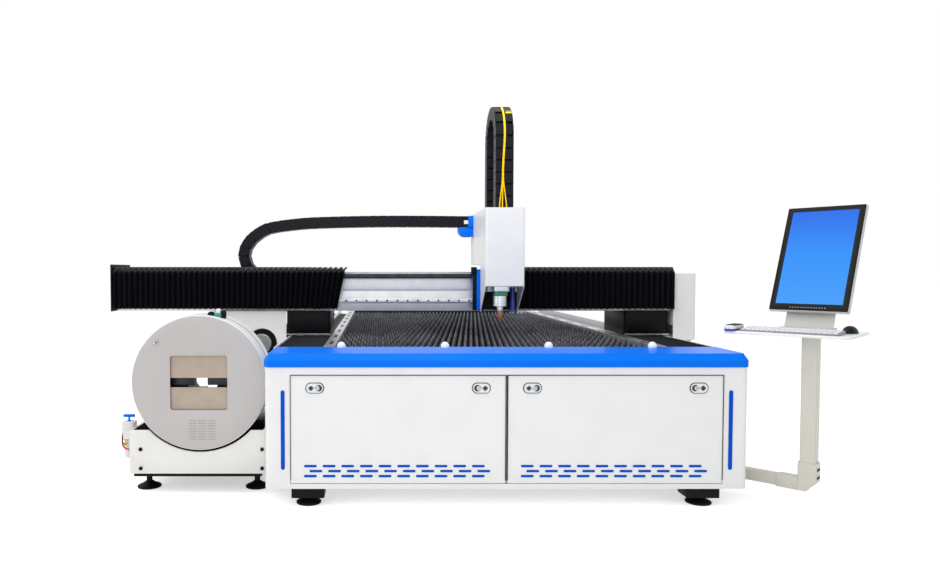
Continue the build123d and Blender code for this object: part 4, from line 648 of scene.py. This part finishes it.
# Beam bellows
# Black coated cloth over stiff frames, pleated, closing the beam's rails on both sides of the head.
# Each is pinned at the beam's end and pushed along by the head; its corners fold in small triangles.
bellows_top, bellows_rise = 1100, 245
front_crest, front_valley, bellows_back = 925, 947, 1212
pleat_crest = [(front_crest, 855), (front_crest, 1066), (front_crest + 34, bellows_top),
               (bellows_back, bellows_top)]
pleat_valley = [(front_valley, 858), (front_valley, 1078), (front_valley + 1, 1079), (bellows_back, 1079)]
for side, first, last, pleat_count, slant, still, moving in (
    ("left", -2122, -772, 43, 50, -2124, 201),
    ("right", 1138, 232, 28, 0, 1139, 232),
):
    columns = []
    for index in range(2 * pleat_count + 1):
        x = first + (last - first) * index / (2 * pleat_count)
        lean = slant * (index / (2 * pleat_count)) ** 6
        columns.append(lambda p, x=x, lean=lean: at(x - lean * (bellows_top - p[1]) / bellows_rise, *p))
    cover = pleated(f"{side}_beam_bellows", columns, pleat_crest, pleat_valley)
    dress(cover, bellows_cloth, None, "black_fabric", "beam_bellows")
    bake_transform(cover)

# Cable chains
# Moulded black nylon links, each two side plates with pivot bosses and two snap-in crossbars.
# One chain lies behind the beam and rolls with the head; the other loops above the head.
link_black = powder_coat("moulded black nylon", "#14141b", "#1b1b23", 0.4, 0.12)


def local(name, low, high, *rounds):
    """A box between two corners in millimetres, in its own frame."""
    return block(name, Vector(low) / 1000, Vector(high) / 1000, *rounds)


def chain_link(pitch, width, depth):
    """One link and its cables about the origin: x along the chain, y across it, z through it."""
    half, rise, side = pitch / 2 - 0.6, depth / 2, width / 2
    parts = []
    for hand in (-1, 1):
        parts.append(local("cheek", (-half - 3, hand * side, -rise), (half - 1, hand * (side - 7), rise),
                           (5, 2, along_y), (1.2, 1)))
        parts.append(spun("boss", Vector((half - 6, hand * (side - 5), 0)) / 1000, Vector((0, hand, 0)),
                          [(0, 0), (rise * 0.3, 0), (rise * 0.3, 5.4), (rise * 0.22, 6.2), (0, 6.2)], 12))
        parts.append(local("tongue", (half - 6, hand * (side - 1.6), 2 - rise),
                           (half + 11, hand * (side - 6), rise - 2), (3, 1, along_y)))
    for hand in (-1, 1):
        parts.append(local("bar", (-half * 0.94, 5 - side, hand * (rise + 1.2)),
                           (half * 0.94, side - 5, hand * (rise - 6)), (1.8, 1)))
    parts.append(local("cable_pack", (-half - 6, 10 - side, 9 - rise), (half + 6, side - 10, rise - 9),
                       (8, 2, along_x)))
    return join("link_pattern", parts)


def scrap(piece):
    """Remove a pattern or a tool once it has served."""
    bpy.data.objects.remove(piece, do_unlink=True)


# The chain hangs a little before its turn; these are points of its middle line, in x and z.
chain_y = 1275
hang = [(-24, 1383), (-288, 1386), (-602, 1386), (-917, 1379), (-1074, 1370), (-1231, 1349), (-1302, 1325),
        (-1373, 1272), (-1411, 1209), (-1414, 1154), (-1393, 1100), (-1345, 1053), (-1285, 1028),
        (-1180, 1022), (-900, 1022), (-593, 1022)]
points = [at(x, chain_y, z) for x, z in hang]
line = []
for i in range(len(points) - 1):
    before, after = points[max(i - 1, 0)], points[min(i + 2, len(points) - 1)]
    line += interpolate_bezier(points[i], points[i] + (points[i + 1] - before) / 6,
                               points[i + 1] - (after - points[i]) / 6, points[i + 1], 60)[:-1]
x_pitch = 0.062
bend_top, bend_foot, bend_end = 1.34, 1.03, at(-1200, 0, 0).x
runs = {"upper": [], "bend": [], "lower": []}
walked = x_pitch / 2
for start, end in zip(line, line[1:]):
    way = end - start
    walked += way.length
    if walked >= x_pitch:
        walked -= x_pitch
        end = end - way.normalized() * walked
        name = "upper" if end.z > bend_top else "lower" if end.z < bend_foot and end.x > bend_end else "bend"
        runs[name].append(Matrix.Translation(end) @ Matrix.Rotation(atan2(-way.z, way.x), 4, "Y"))
# A rolling chain's bend makes half of the head's way.
pattern = chain_link(62, 100, 66)
for name, start, end in (
    ("upper", at(-2497, chain_y, 1384), at(-24, chain_y, 1384)),
    ("bend", at(-1233, chain_y - 100000, 1203), at(-1233, chain_y + 100000, 1203)),
    ("lower", at(-593, chain_y, 1022), at(-1771, chain_y, 1022)),
):
    links = join(f"x_chain_{name}", copies(pattern, runs[name]))
    dress(links, link_black, None, "black_plastic", "x_chain")
    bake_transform(links)
scrap(pattern)

loop_x, loop_y, loop_z, loop_r = 117, 955, 1823, 162
z_pitch = 66
pattern = chain_link(z_pitch, 100, 70)
turn = Matrix(((0, 1, 0, 0), (0, 0, 1, 0), (1, 0, 0, 0), (0, 0, 0, 1)))
places = [Matrix.Translation(at(loop_x, y, 1790 - z_pitch * i)) @ turn
          for y in (loop_y - loop_r, loop_y + loop_r) for i in range(6)]
for i in range(8):
    swing = Matrix.Rotation(radians(78.75 - 22.5 * i), 4, "X")
    places.append(Matrix.Translation(at(loop_x, loop_y, loop_z)) @ swing
                  @ Matrix.Translation((0, 0, loop_r / 1000)) @ Matrix.Rotation(radians(90), 4, "X") @ turn)
links = join("z_chain_links", copies(pattern, places))
dress(links, link_black, "head_carriage", "black_plastic", "z_chain")
scrap(pattern)

# Travel motors
# Round servo motors of cast aluminium, each on a black gearbox bolted to the leg's outer side.
# The left motor stands in a round opening of the skirt, which has a rubber edging; a black disc behind the
# opening is painted shade in the gap round the motor.
cast_grey = metal("cast aluminium", "#a4a5a8", 0.42, (0.003, 0.003), "#8f9093")
inward = Vector((0, 1, 0))
left_x, left_z = -1262, 655
edging = spun("skirt_edging", at(left_x, 961, left_z), inward,
              [(70, -4), (84, -4), (86, -2), (86, 4), (70, 4)], 48)
# Painted shade: a black disc behind the skirt fills the gap between the motor and the opening.
gap_shade_disc = spun("skirt_gap_shade_disc", at(left_x, 966, left_z), inward, [(56, 0), (86, 0), (86, 3), (56, 3)], 48)
dress(join("skirt_edging", [edging, gap_shade_disc]), rubber_and_shade, "gantry", "black_plastic")
motors, gearboxes = [], []
for hand, x, z in ((-1, left_x, left_z), (1, 1206, 700)):
    motors.append(spun("motor", at(x, 950, z), inward, [
        (0, 0), (48, 0), (52, 3), (55, 8), (55, 60), (53, 62), (53, 66), (55, 68), (55, 204),
        (52, 210), (0, 210)], 40))
    gearboxes.append(box("gearbox", (hand * 1120, 1160, z - 48), (x + hand * 48, 1270, 748), (5, 2)))
dress(join("travel_motors", motors), cast_grey, "gantry", "dark_steel", "y_motors")
dress(join("travel_gearboxes", gearboxes), black_coat_and_shade, "gantry", "dark_steel", "y_motors")

# Carriage brackets
# Blue sheet and a black wiper strip on the left of the head's cover.
# The lobe and its tab take the end of the cable chain, which is clamped by a white nylon comb.
lobe = box("chain_lobe", (-81, 1225, 1290), (9, 1325, 1348.7),
           (42, 8, lambda a, b: along_y(a, b) and a.x < at(-80, 0, 0).x and a.z < 1.3),
           (16, 5, lambda a, b: along_y(a, b) and a.x > at(8, 0, 0).x and a.z < 1.3), (1.6, 2))
tab = box("chain_tab", (-24, 1225, 1340), (9, 1325, 1419), (1.6, 2))
flange = box("side_flange", (-36, 919, 850), (30, 925, 1088), (1.6, 2))
dress(join("blue_brackets", [lobe, tab, flange]), blue_coat, "head_carriage", "blue_paint", "carriage_brackets")
wiper = box("wiper_strip", (-36, 910, 852), (-14, 919, 1080), (2, 2))
guard = box("wiper_head", (-46, 906, 1058), (-13, 919, 1100), (3, 2))
dress(join("side_wiper", [wiper, guard]), rubber_and_shade, "head_carriage", "black_plastic")
comb = box("chain_comb", (-50, 1223, 1368), (-24, 1226, 1391), (2, 2))
dress(comb, nylon, "head_carriage", "white_nylon")

# Cutting head
# Machined and clear-anodised optics body with a green sensor band, a ringed round body and a slim holder.
# The nozzle is turned copper; behind hangs a black sheet of painted shade for the dark inside of the carriage,
# and beside it a blue gas hose.
satin_silver = metal("clear anodised aluminium", "#d9dadc", 0.36, (0.002, 0.05), "#cccdd0")
green_coat = powder_coat("green anodised aluminium", "#1d7d51", "#237f55", 0.32)
copper = metal("turned copper", "#b4694a", 0.3, (0.001, 0.02), "#8d4c36")
navy_hose = powder_coat("navy polyurethane hose", "#0e2a8c", "#15339a", 0.3)
head_axis = (100, 785)
optics = box("optics_body", (60, 745, 962), (140, 825, 1200), (4, 3))
ringed = spun("ringed_body", at(*head_axis, 879), upright, [
    (0, 0), (35, 0), (38, 3), (38, 15), (36, 16), (36, 18), (38, 19), (38, 29), (36, 30), (36, 32), (38, 33),
    (38, 43), (36, 44), (36, 46), (38, 47), (38, 58), (0, 58)], 44)
holder = spun("nozzle_holder", at(*head_axis, 848), upright, [
    (0, 0), (15, 0), (16, 2), (16, 20), (17, 21), (17, 29), (19, 31), (0, 31)], 32)
dress(join("head_body", [optics, ringed, holder]), satin_silver, "head", "aluminium", "cutting_head")
band = box("sensor_band", (64, 749, 937), (136, 821, 962), (3, 3))
dress(band, green_coat, "head", "grey_paint", "cutting_head")
tip = spun("copper_nozzle", at(*head_axis, 805), upright, [
    (0, 0), (4.5, 0), (6, 1.5), (10, 16), (11, 17), (11, 28), (14, 30), (14, 43), (0, 43)], 32)
dress(tip, copper, "head", "copper", "nozzle")
# Painted shade: a dished black sheet behind the head stands for the dark inside of the carriage.
head_shade = box("head_shade_sheet", (14, 915, 852), (220, 919, 956), (1.2, 2))
dress(dish(head_shade, toward_operator, 8, 1.2), rubber_and_shade, "head_carriage", "black_plastic")
hose = spun("gas_hose", at(182, 848, 843), upright, [
    (0, 0), (10, 0), (14, 3), (14, 24), (15, 25), (15, 30), (14, 31), (14, 140), (0, 140)], 24)
dress(hose, navy_hose, "head", "blue_plastic")

# Fibre lines
# Three yellow-jacketed optical fibres, tied along the outer face of the head's cable chain.
# They part just above the cover, and a yellow tag is tied on near the top.
yellow_jacket = powder_coat("yellow cable jacket", "#ffd30a", "#fcc908", 0.4, 0.2)


def tube(name, route, radius, smoothness):
    """A round line along a route of places in millimetres, as a curve."""
    bpy.ops.curve.primitive_nurbs_path_add()
    piece = bpy.context.object
    piece.name = name
    spline = piece.data.splines[0]
    spline.points.add(len(route) - len(spline.points))
    for point, place in zip(spline.points, route):
        point.co = (*at(*place), 1)
    spline.order_u = 3
    spline.use_endpoint_u = True
    piece.data.resolution_u = smoothness
    piece.data.bevel_depth = radius / 1000
    piece.data.bevel_resolution = 3
    return piece


fibres = []
fibre_r = loop_r + 41
front, back = loop_y - fibre_r, loop_y + fibre_r
for foot_x, lane in ((89, -2.5), (105, 0), (128, 2.5)):
    route = [(foot_x, front, 1429), (foot_x, front, 1450)]
    route += [(x + lane, front, z) for x, z in ((107, 1570), (107, 1640), (112, 1740))]
    route += [(loop_x + lane, loop_y - fibre_r * cos(radians(angle)), loop_z + fibre_r * sin(radians(angle)))
              for angle in range(0, 181, 20)]
    route += [(loop_x + lane, back, z) for z in (1700, 1560, 1429)]
    fibre = tube("fibre", route, 3.2, 6)
    fibre.data.use_fill_caps = True
    bpy.ops.object.convert(target="MESH")
    fibres.append(bpy.context.object)
dress(join("fibre_bundle", fibres), yellow_jacket, "head_carriage", "yellow_jacket", "fibre_lines")
tag = turned(box("fibre_tag", (130, 819, 1955), (164, 822, 1981)), 47, "X", at(147, 820, 1968))
dress(bevel(tag, 1, 2), yellow_jacket, "head_carriage", "yellow_jacket")

# Chuck base
# A welded trough of white sheet on a black bar, its front plate cut in an arc round the drum.
# Inside are the drum's black saddle and the servo motor that turns the chuck; thin black sheets on the trough's
# floor and inner walls are painted shade.
warm_white = powder_coat("warm white powder coat", "#e8e7e3", "#dcdad5")
drum_x, drum_z = -1445, 540


def cut(piece, tool):
    """Cut a tool's shape out of a piece."""
    alter(piece, "BOOLEAN", object=tool, solver="EXACT")
    scrap(tool)
    return piece


def arc_tool(radius):
    """A round bar on the drum's axis, to cut with."""
    return spun("arc_tool", at(drum_x, 150, drum_z), inward, [(0, 0), (radius, 0), (radius, 400), (0, 400)], 128)


plate = cut(box("chuck_front_plate", (-1785, 202, 98), (-1130, 214, 309)), arc_tool(337))
walls = [((-1785, 214, 103), (-1773, 762, 309)), ((-1142, 214, 103), (-1130, 762, 309)),
         ((-1773, 750, 103), (-1142, 762, 309)), ((-1773, 214, 103), (-1142, 750, 196))]
ties = [((-1130, y, 110), (-1102, y + 60, 180)) for y in (420, 640)]
trough = [bevel(plate, 1.2, 2)] + [box("wall", low, high, (1, 1)) for low, high in walls + ties]
dress(join("chuck_trough", trough), warm_white, "bed", "white_paint", "chuck_base")
bar = box("chuck_plinth", (-1767, 206, 83), (-1148, 738, 99), (2, 2))
saddle = cut(box("saddle", (-1635, 226, 196), (-1255, 366, 276)), arc_tool(325))
# Painted shade: thin black sheets on the trough's floor and two side walls, seen through the gap round the drum.
trough_shade_sheets = [box("trough_shade_sheet", low, high) for low, high in (
    ((-1773, 214, 196), (-1142, 750, 198)), ((-1773, 214, 198), (-1771, 750, 305)),
    ((-1144, 214, 198), (-1142, 750, 305)))]
plinth_saddle_and_shade = join("chuck_plinth_and_saddle", [bar, saddle] + trough_shade_sheets)
dress(plinth_saddle_and_shade, black_coat_and_shade, "bed", "black_paint", "chuck_base")
screws = spun("base_screws", at(-1731, 202, 217), toward_operator,
              [(0, 5), (4, 5), (5, 6), (8, 6), (9, 5), (9, -2), (0, -2)], 20)
repeat(screws, 2, (0.587, 0, 0))
repeat(screws, 2, (0, 0, -0.093))
dress(screws, black_coat_and_shade, "bed", "black_paint")
motor = box("chuck_servo", (-1295, 452, 198), (-1185, 642, 308), (10, 3, along_y), (2, 2))
dress(motor, black_coat_and_shade, "bed", "black_paint", "chuck_motor")

# Chuck drum and cover
# A rolled drum of off-white sheet; its front is closed by a grey guard disc with a square window.
# The disc has a key lock and a block of fine pressed slits under the window.
rim_white = powder_coat("off-white powder coat", "#e9e8e6", "#dfdddb")
guard_grey = powder_coat("warm grey powder coat", "#bebab9", "#b8b4b2", 0.4, 0.3)
slit_grey = powder_coat("grey shadow in pressed slits", "#a5a19f", "#9f9b99", 0.5, 0.2)
drum_at = at(drum_x, 196, drum_z)
drum = spun("chuck_drum", drum_at, inward, [
    (323, 0), (325, 2), (325, 192), (323, 194), (90.2, 194), (90.2, 176), (310, 176), (310, 0)], 96)
dress(drum, rim_white, "bed", "white_paint", "chuck_housing")
# Painted shade: a black band round the drum stands for the recess of its seam.
seam = spun("chuck_drum_seam", drum_at, inward, [(323, 104), (325.3, 104), (325.3, 112), (323, 112)], 96)
dress(seam, black_enamel_and_shade, "bed", "black_plastic")
disc = spun("chuck_guard_disc", drum_at, toward_operator,
            [(0, 0), (320, 0), (321, 1), (321, 4), (319, 6), (0, 6)], 96)
cut(disc, box("window_tool", (-1582.5, 150, 408.5), (-1307.5, 250, 671.5), (14, 6, along_y)))
dress(bevel(disc, 1, 2), guard_grey, "bed", "grey_paint", "chuck_cover")
slit = box("chuck_slits", (-1493, 189, 357), (-1457, 190.4, 360.5), (0.6, 1))
repeat(slit, 3, (0.0455, 0, 0))
repeat(slit, 8, (0, 0, -0.0128))
dress(slit, slit_grey, "bed", "grey_paint")
lock = spun("cover_lock", at(-1648, 190, 736), toward_operator, [
    (0, 4.5), (6, 4.5), (7, 5.5), (10, 6), (12, 5), (13, 2), (13, -1), (0, -1)], 32)
dress(lock, chrome, "bed", "chrome", "chuck_cover")
# Painted shade: a black block stands for the dark inside of the key slot.
lock_slot = box("cover_lock_slot", (-1650, 185, 731), (-1646, 187, 741), (0.8, 2))
dress(lock_slot, black_enamel_and_shade, "bed", "black_plastic")

# Chuck rotor and jaws
# Four jaws on a dark face plate: two wide brushed plates close from above and below,
# and two plain steel jaws from the sides; a hollow spindle and a belt pulley are behind.
jaw_steel = metal("brushed jaw plate", "#ad9e90", 0.5, (0.0012, 0.12), "#a59688", 0.35)
paint(jaw_steel, "upper_jaw", "lower_jaw")
paint(dark_rail, "left_jaw", "right_jaw", "chuck_rotor")

# Air unit
# A moulded filter bowl and white valve head, clamped to the chuck's left side.
# On top of the drum are an air elbow and a black breather.
pale_moulding = powder_coat("pale grey moulding", "#e2e1de", "#d6d4d0", 0.34)
bowl_axis = (-1818, 300)
bowl = spun("air_bowl", at(*bowl_axis, 150), upright, [
    (0, 4), (6, 0), (14, 2), (23, 8), (26, 16), (26, 92), (30, 94), (30, 108), (0, 108)], 36)
valve = box("valve_head", (-1850, 268, 258), (-1786.5, 332, 334), (14, 5, along_z), (4, 3))
arm = box("air_arm", (-1818, 208, 262), (-1785, 300, 300), (3, 2))
knob = spun("elbow_knob", at(-1362, 260, 866), upright,
            [(0, 0), (13, 0), (13, 14), (12, 22), (8, 27), (0, 28)], 24)
dress(join("air_unit_mouldings", [bowl, valve, arm, knob]), pale_moulding, "bed", "grey_paint", "air_unit")
dome = spun("breather", at(-1398, 260, 852), upright,
            [(0, 0), (18, 0), (18, 14), (16, 21), (10, 27), (0, 29)], 24)
elbow = box("elbow_body", (-1350, 246, 846), (-1326, 276, 884), (5, 3))
ring = spun("bowl_band", at(*bowl_axis, 244), upright,
            [(0, 0), (29, 0), (31, 2), (31, 10), (29, 12), (0, 12)], 36)
dress(join("air_fittings", [dome, elbow, ring]), rubber_and_shade, "bed", "black_plastic", "air_unit")

# Air hoses
# Two short polyurethane hoses pushed into the valve head: the red one feeds the chuck through its base,
# and the black one goes to the filter bowl. Their far ends sit in yellow glands.
red_hose = powder_coat("red polyurethane hose", "#c8140c", "#b8140e", 0.3)
black_hose = powder_coat("black polyurethane hose", "#0b0b0d", "#141416", 0.3)
for name, material, route, length, bore in (
        ("red_air_hose", red_hose, [(-1843, 274, 258), (-1843, 268, 240), (-1839, 261, 222), (-1826, 257, 208),
                                    (-1807, 255, 202), (-1785.5, 255, 202)], 0.099, 8),
        ("black_air_hose", black_hose, [(-1836, 268, 279), (-1835.5, 254, 279), (-1833, 237, 265),
                                        (-1830, 237, 241), (-1827, 254, 227), (-1826, 268, 227)], 0.092, 6)):
    hose = tube(name, route, bore / 2, 10)
    hose.data.materials.append(material)
    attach(hose, "bed")
gland = [(3, 12), (6, 11), (7, 8), (7, 3), (9, 2), (9, -2), (3, -2)]
glands = [spun("gland", at(-1785, 255, 202), -rightward, gland, 20),
          spun("gland", at(-1826, 275, 227), toward_operator, gland, 20)]
dress(join("hose_glands", glands), yellow_jacket, "bed", "yellow_jacket")

# Elbow collar and valve lever
# Moulded plastic: a teal collar that locks the air elbow, and a blue T lever.
# The lever is pressed on the valve's stem and turns with it.
teal_moulding = powder_coat("teal moulding", "#1b9188", "#1f8a84", 0.34)
collar = box("elbow_collar", (-1380, 242, 852), (-1346, 278, 873), (5, 3))
dress(collar, teal_moulding, "bed", "blue_plastic", "air_unit")
stem = spun("lever_stem", at(*bowl_axis, 334.3), upright,
            [(0, 0), (8, 0), (8, 4), (5, 7), (5, 21), (0, 21)], 20)
handle = box("lever_handle", (-1847, 292, 354), (-1789, 308, 368), (7, 4, along_z), (3, 3))
dress(join("valve_t_lever", [stem, handle]), blue_coat, "lever", "blue_plastic", "valve_lever")

# Console stand and tray
# Square steel tube in warm white, darkened as painted shade: an arm that swings on the cabinet's bracket, and a
# column in a cast elbow.
# The tray on top is folded sheet with rounded corners.
# The warm white is darkened to the tone of the column's shaded face, as painted shade.
tube_white_shaded = powder_coat("ivory powder coat darkened as painted shade", "#d2cfc4", "#c7c3b8", 0.4, 0.3)
paint(tube_white_shaded, "arm_bracket", "console_stand")
console_place = Matrix.Translation(at(1368, -10, 0)) @ Matrix.Rotation(radians(-44.8), 4, "Z")


def on_console(piece, material, slot, *nodes):
    """Set a piece that was made about the console's column in its place, and dress it."""
    piece.data.transform(console_place)
    dress(piece, material, "console", slot, *nodes)


tray = local("folded_tray", (-316.5, -184, 790), (186.5, 193, 802), (24, 7, along_z), (2.5, 3))
on_console(tray, white_coat, "white_paint", "console_tray")
on_console(local("elbow_collar", (-128, -30, 80), (0, 30, 140), (6, 3)), tube_white_shaded, "grey_paint")
screw = spun("elbow_screws", Vector((0.038, -0.013, 0.147)), rightward,
             [(0, 2), (3, 2), (4, 3), (6, 3), (7, 2), (7, -1), (0, -1)], 18)
repeat(screw, 2, (0, 0.026, 0))
repeat(screw, 2, (0, 0, 0.036))
on_console(screw, black_coat_and_shade, "black_paint")

# Monitor
# A portrait screen: pale moulded shell, black front frame with a row of small keys, lit panel.
# It tilts on a pin between two ears of a folded steel easel that stands on the tray.
easel_grey = powder_coat("grey powder coat", "#c2c3be", "#b6b7b1", 0.45)
shell_silver = powder_coat("silver grey moulding", "#c9c8c9", "#bcbbbc", 0.36)
frame_black = powder_coat("black moulding", "#050507", "#0b0b0e", 0.42, 0.14)
paint(easel_grey, "monitor_stand")
yaw, tilt = radians(50.8), radians(23.4)
across = Vector((cos(yaw), -sin(yaw), 0))
away = Vector((sin(yaw), cos(yaw), 0))
facing = away * -cos(tilt) + upright * sin(tilt)
climb = away * sin(tilt) + upright * cos(tilt)
screen_place = Matrix.Translation(console_place @ Vector((-0.0635, 0.171, 0.891))) @ Matrix(
    (across, climb, facing)).transposed().to_4x4()


def on_screen(piece, material, slot, *nodes):
    """Set a piece that was made flat, about the screen's lower edge, in its place, and dress it."""
    piece.data.transform(screen_place)
    dress(piece, material, "display", slot, *nodes)


shell = local("monitor_shell", (-173, -3, -28), (173, 551, -5), (7, 4, along_z), (3.5, 3))
boss = local("tilt_boss", (-59.7, 124, -54), (59.7, 152, -28), (2, 2))
pin = spun("tilt_pin", Vector((-0.07, 0.138, -0.042)), rightward, [(0, 0), (6, 0), (6, 140), (0, 140)], 20)
on_screen(join("monitor_shell", [shell, boss, pin]), shell_silver, "pale_plastic", "monitor")
front = local("monitor_front", (-169.5, 0.5, -5), (169.5, 547.5, 0), (5, 4, along_z))
cut(front, local("panel_tool", (-145, 33, -20), (145, 524, 20)))
on_screen(bevel(front, 0.8, 2), frame_black, "black_plastic", "monitor")
key = spun("monitor_keys", Vector((-0.075, 0.014, 0)), upright,
           [(0, 0.6), (1.6, 0.6), (2.2, 0), (2.2, -1), (0, -1)], 12)
on_screen(repeat(key, 14, (0.0115, 0, 0)), shell_silver, "pale_plastic")
# Lit panel: a plain blue field, deeper towards the top, behind smooth glass.
lit_panel, tree, glass = finish("lit screen glass")
glass.inputs["Base Color"].default_value = linear("#05070c")
glass.inputs["Roughness"].default_value = 0.35
glass.inputs["Specular IOR Level"].default_value = 0.05
glass.inputs["Emission Strength"].default_value = 1.0
panel_foot, panel_middle, panel_top = 0.93, 1.15, 1.38
where = node(tree, "ShaderNodeTexCoord")
field = by_height(tree, where, (panel_foot, panel_middle), linear("#479efa"), linear("#3694fb"))
field = by_height(tree, where, (panel_middle, panel_top), (field, "Color"), linear("#2d6de9"))
tree.links.new(field.outputs["Color"], glass.inputs["Emission Color"])
paint(lit_panel, "screen_panel")

# Keyboard, mouse and hand pendant
# Moulded plastic pieces that lie on the tray: white keys on a grey wedge, a dark mouse with a teal sole,
# and a white hand pendant with dark keys and a blue edge.
key_white = powder_coat("white key moulding", "#e2e3e6", "#d8d9dc", 0.45, 0.3)
board_grey = powder_coat("grey keyboard moulding", "#8d8f96", "#83858c", 0.5, 0.3)
wedge_drop = 0.009
board = local("keyboard_base", (-257.5, -158, 802), (138.5, -30, 818))
choose(board, "VERT", lambda point: point.co.z > 0.81 and point.co.y < -0.1)
bpy.ops.transform.translate(value=(0, 0, -wedge_drop))
leave_edit()
bevel(board, 6, 3, along_z)
on_console(bevel(board, 1.5, 2), board_grey, "pale_plastic", "keyboard")
key = local("keyboard_keys", (-251, -152, 806), (-233, -134, 813.5))
choose(key, "FACE", lambda face: face.normal.z > 0.9)
bpy.ops.transform.resize(value=(0.78, 0.8, 1))
leave_edit()
bevel(key, 1, 1)
repeat(key, 19, (0.0202, 0, 0))
repeat(key, 6, (0, 0.0204, 0.0014))
on_console(key, key_white, "pale_plastic", "keyboard")
mouse_at = (0.1405, 0.034, 0.8022)
for name, rise, spread, material, slot in (
    ("mouse_shell", 34, 1.0, frame_black, "black_plastic"),
    ("mouse_sole", 7, 1.05, teal_moulding, "blue_plastic"),
):
    bpy.ops.mesh.primitive_uv_sphere_add(segments=32, ring_count=20, radius=1, location=mouse_at)
    dome = bpy.context.object
    dome.name = name
    dome.scale = (0.031 * spread, 0.052 * spread, rise / 1000)
    bpy.ops.object.transform_apply()
    choose(dome)
    bpy.ops.mesh.bisect(plane_co=mouse_at, plane_no=upright, clear_inner=True, use_fill=True)
    leave_edit()
    on_console(dome, material, slot, "mouse")
body = local("pendant_body", (-312.5, -197, 810), (-266.5, -47, 828), (14, 5, along_z), (4, 3))
on_console(body, key_white, "pale_plastic", "pendant")
edge = local("pendant_edge", (-312, -196.5, 802.2), (-267, -47.5, 811), (14, 5, along_z), (2, 2))
on_console(edge, navy_hose, "blue_plastic", "pendant")
pad = local("pendant_keys", (-305, -186, 827), (-293, -176, 831), (1.5, 2))
repeat(pad, 3, (0.0145, 0, 0))
repeat(pad, 6, (0, 0.019, 0))
on_console(pad, frame_black, "black_plastic", "pendant")

# Inside the cabinet
# The fibre laser source is a white steel case in the left bay.
# The controls are on a zinc-plated panel in the right one.
paint(white_coat, "laser_source")
paint(rail_grey, "electrics_panel")
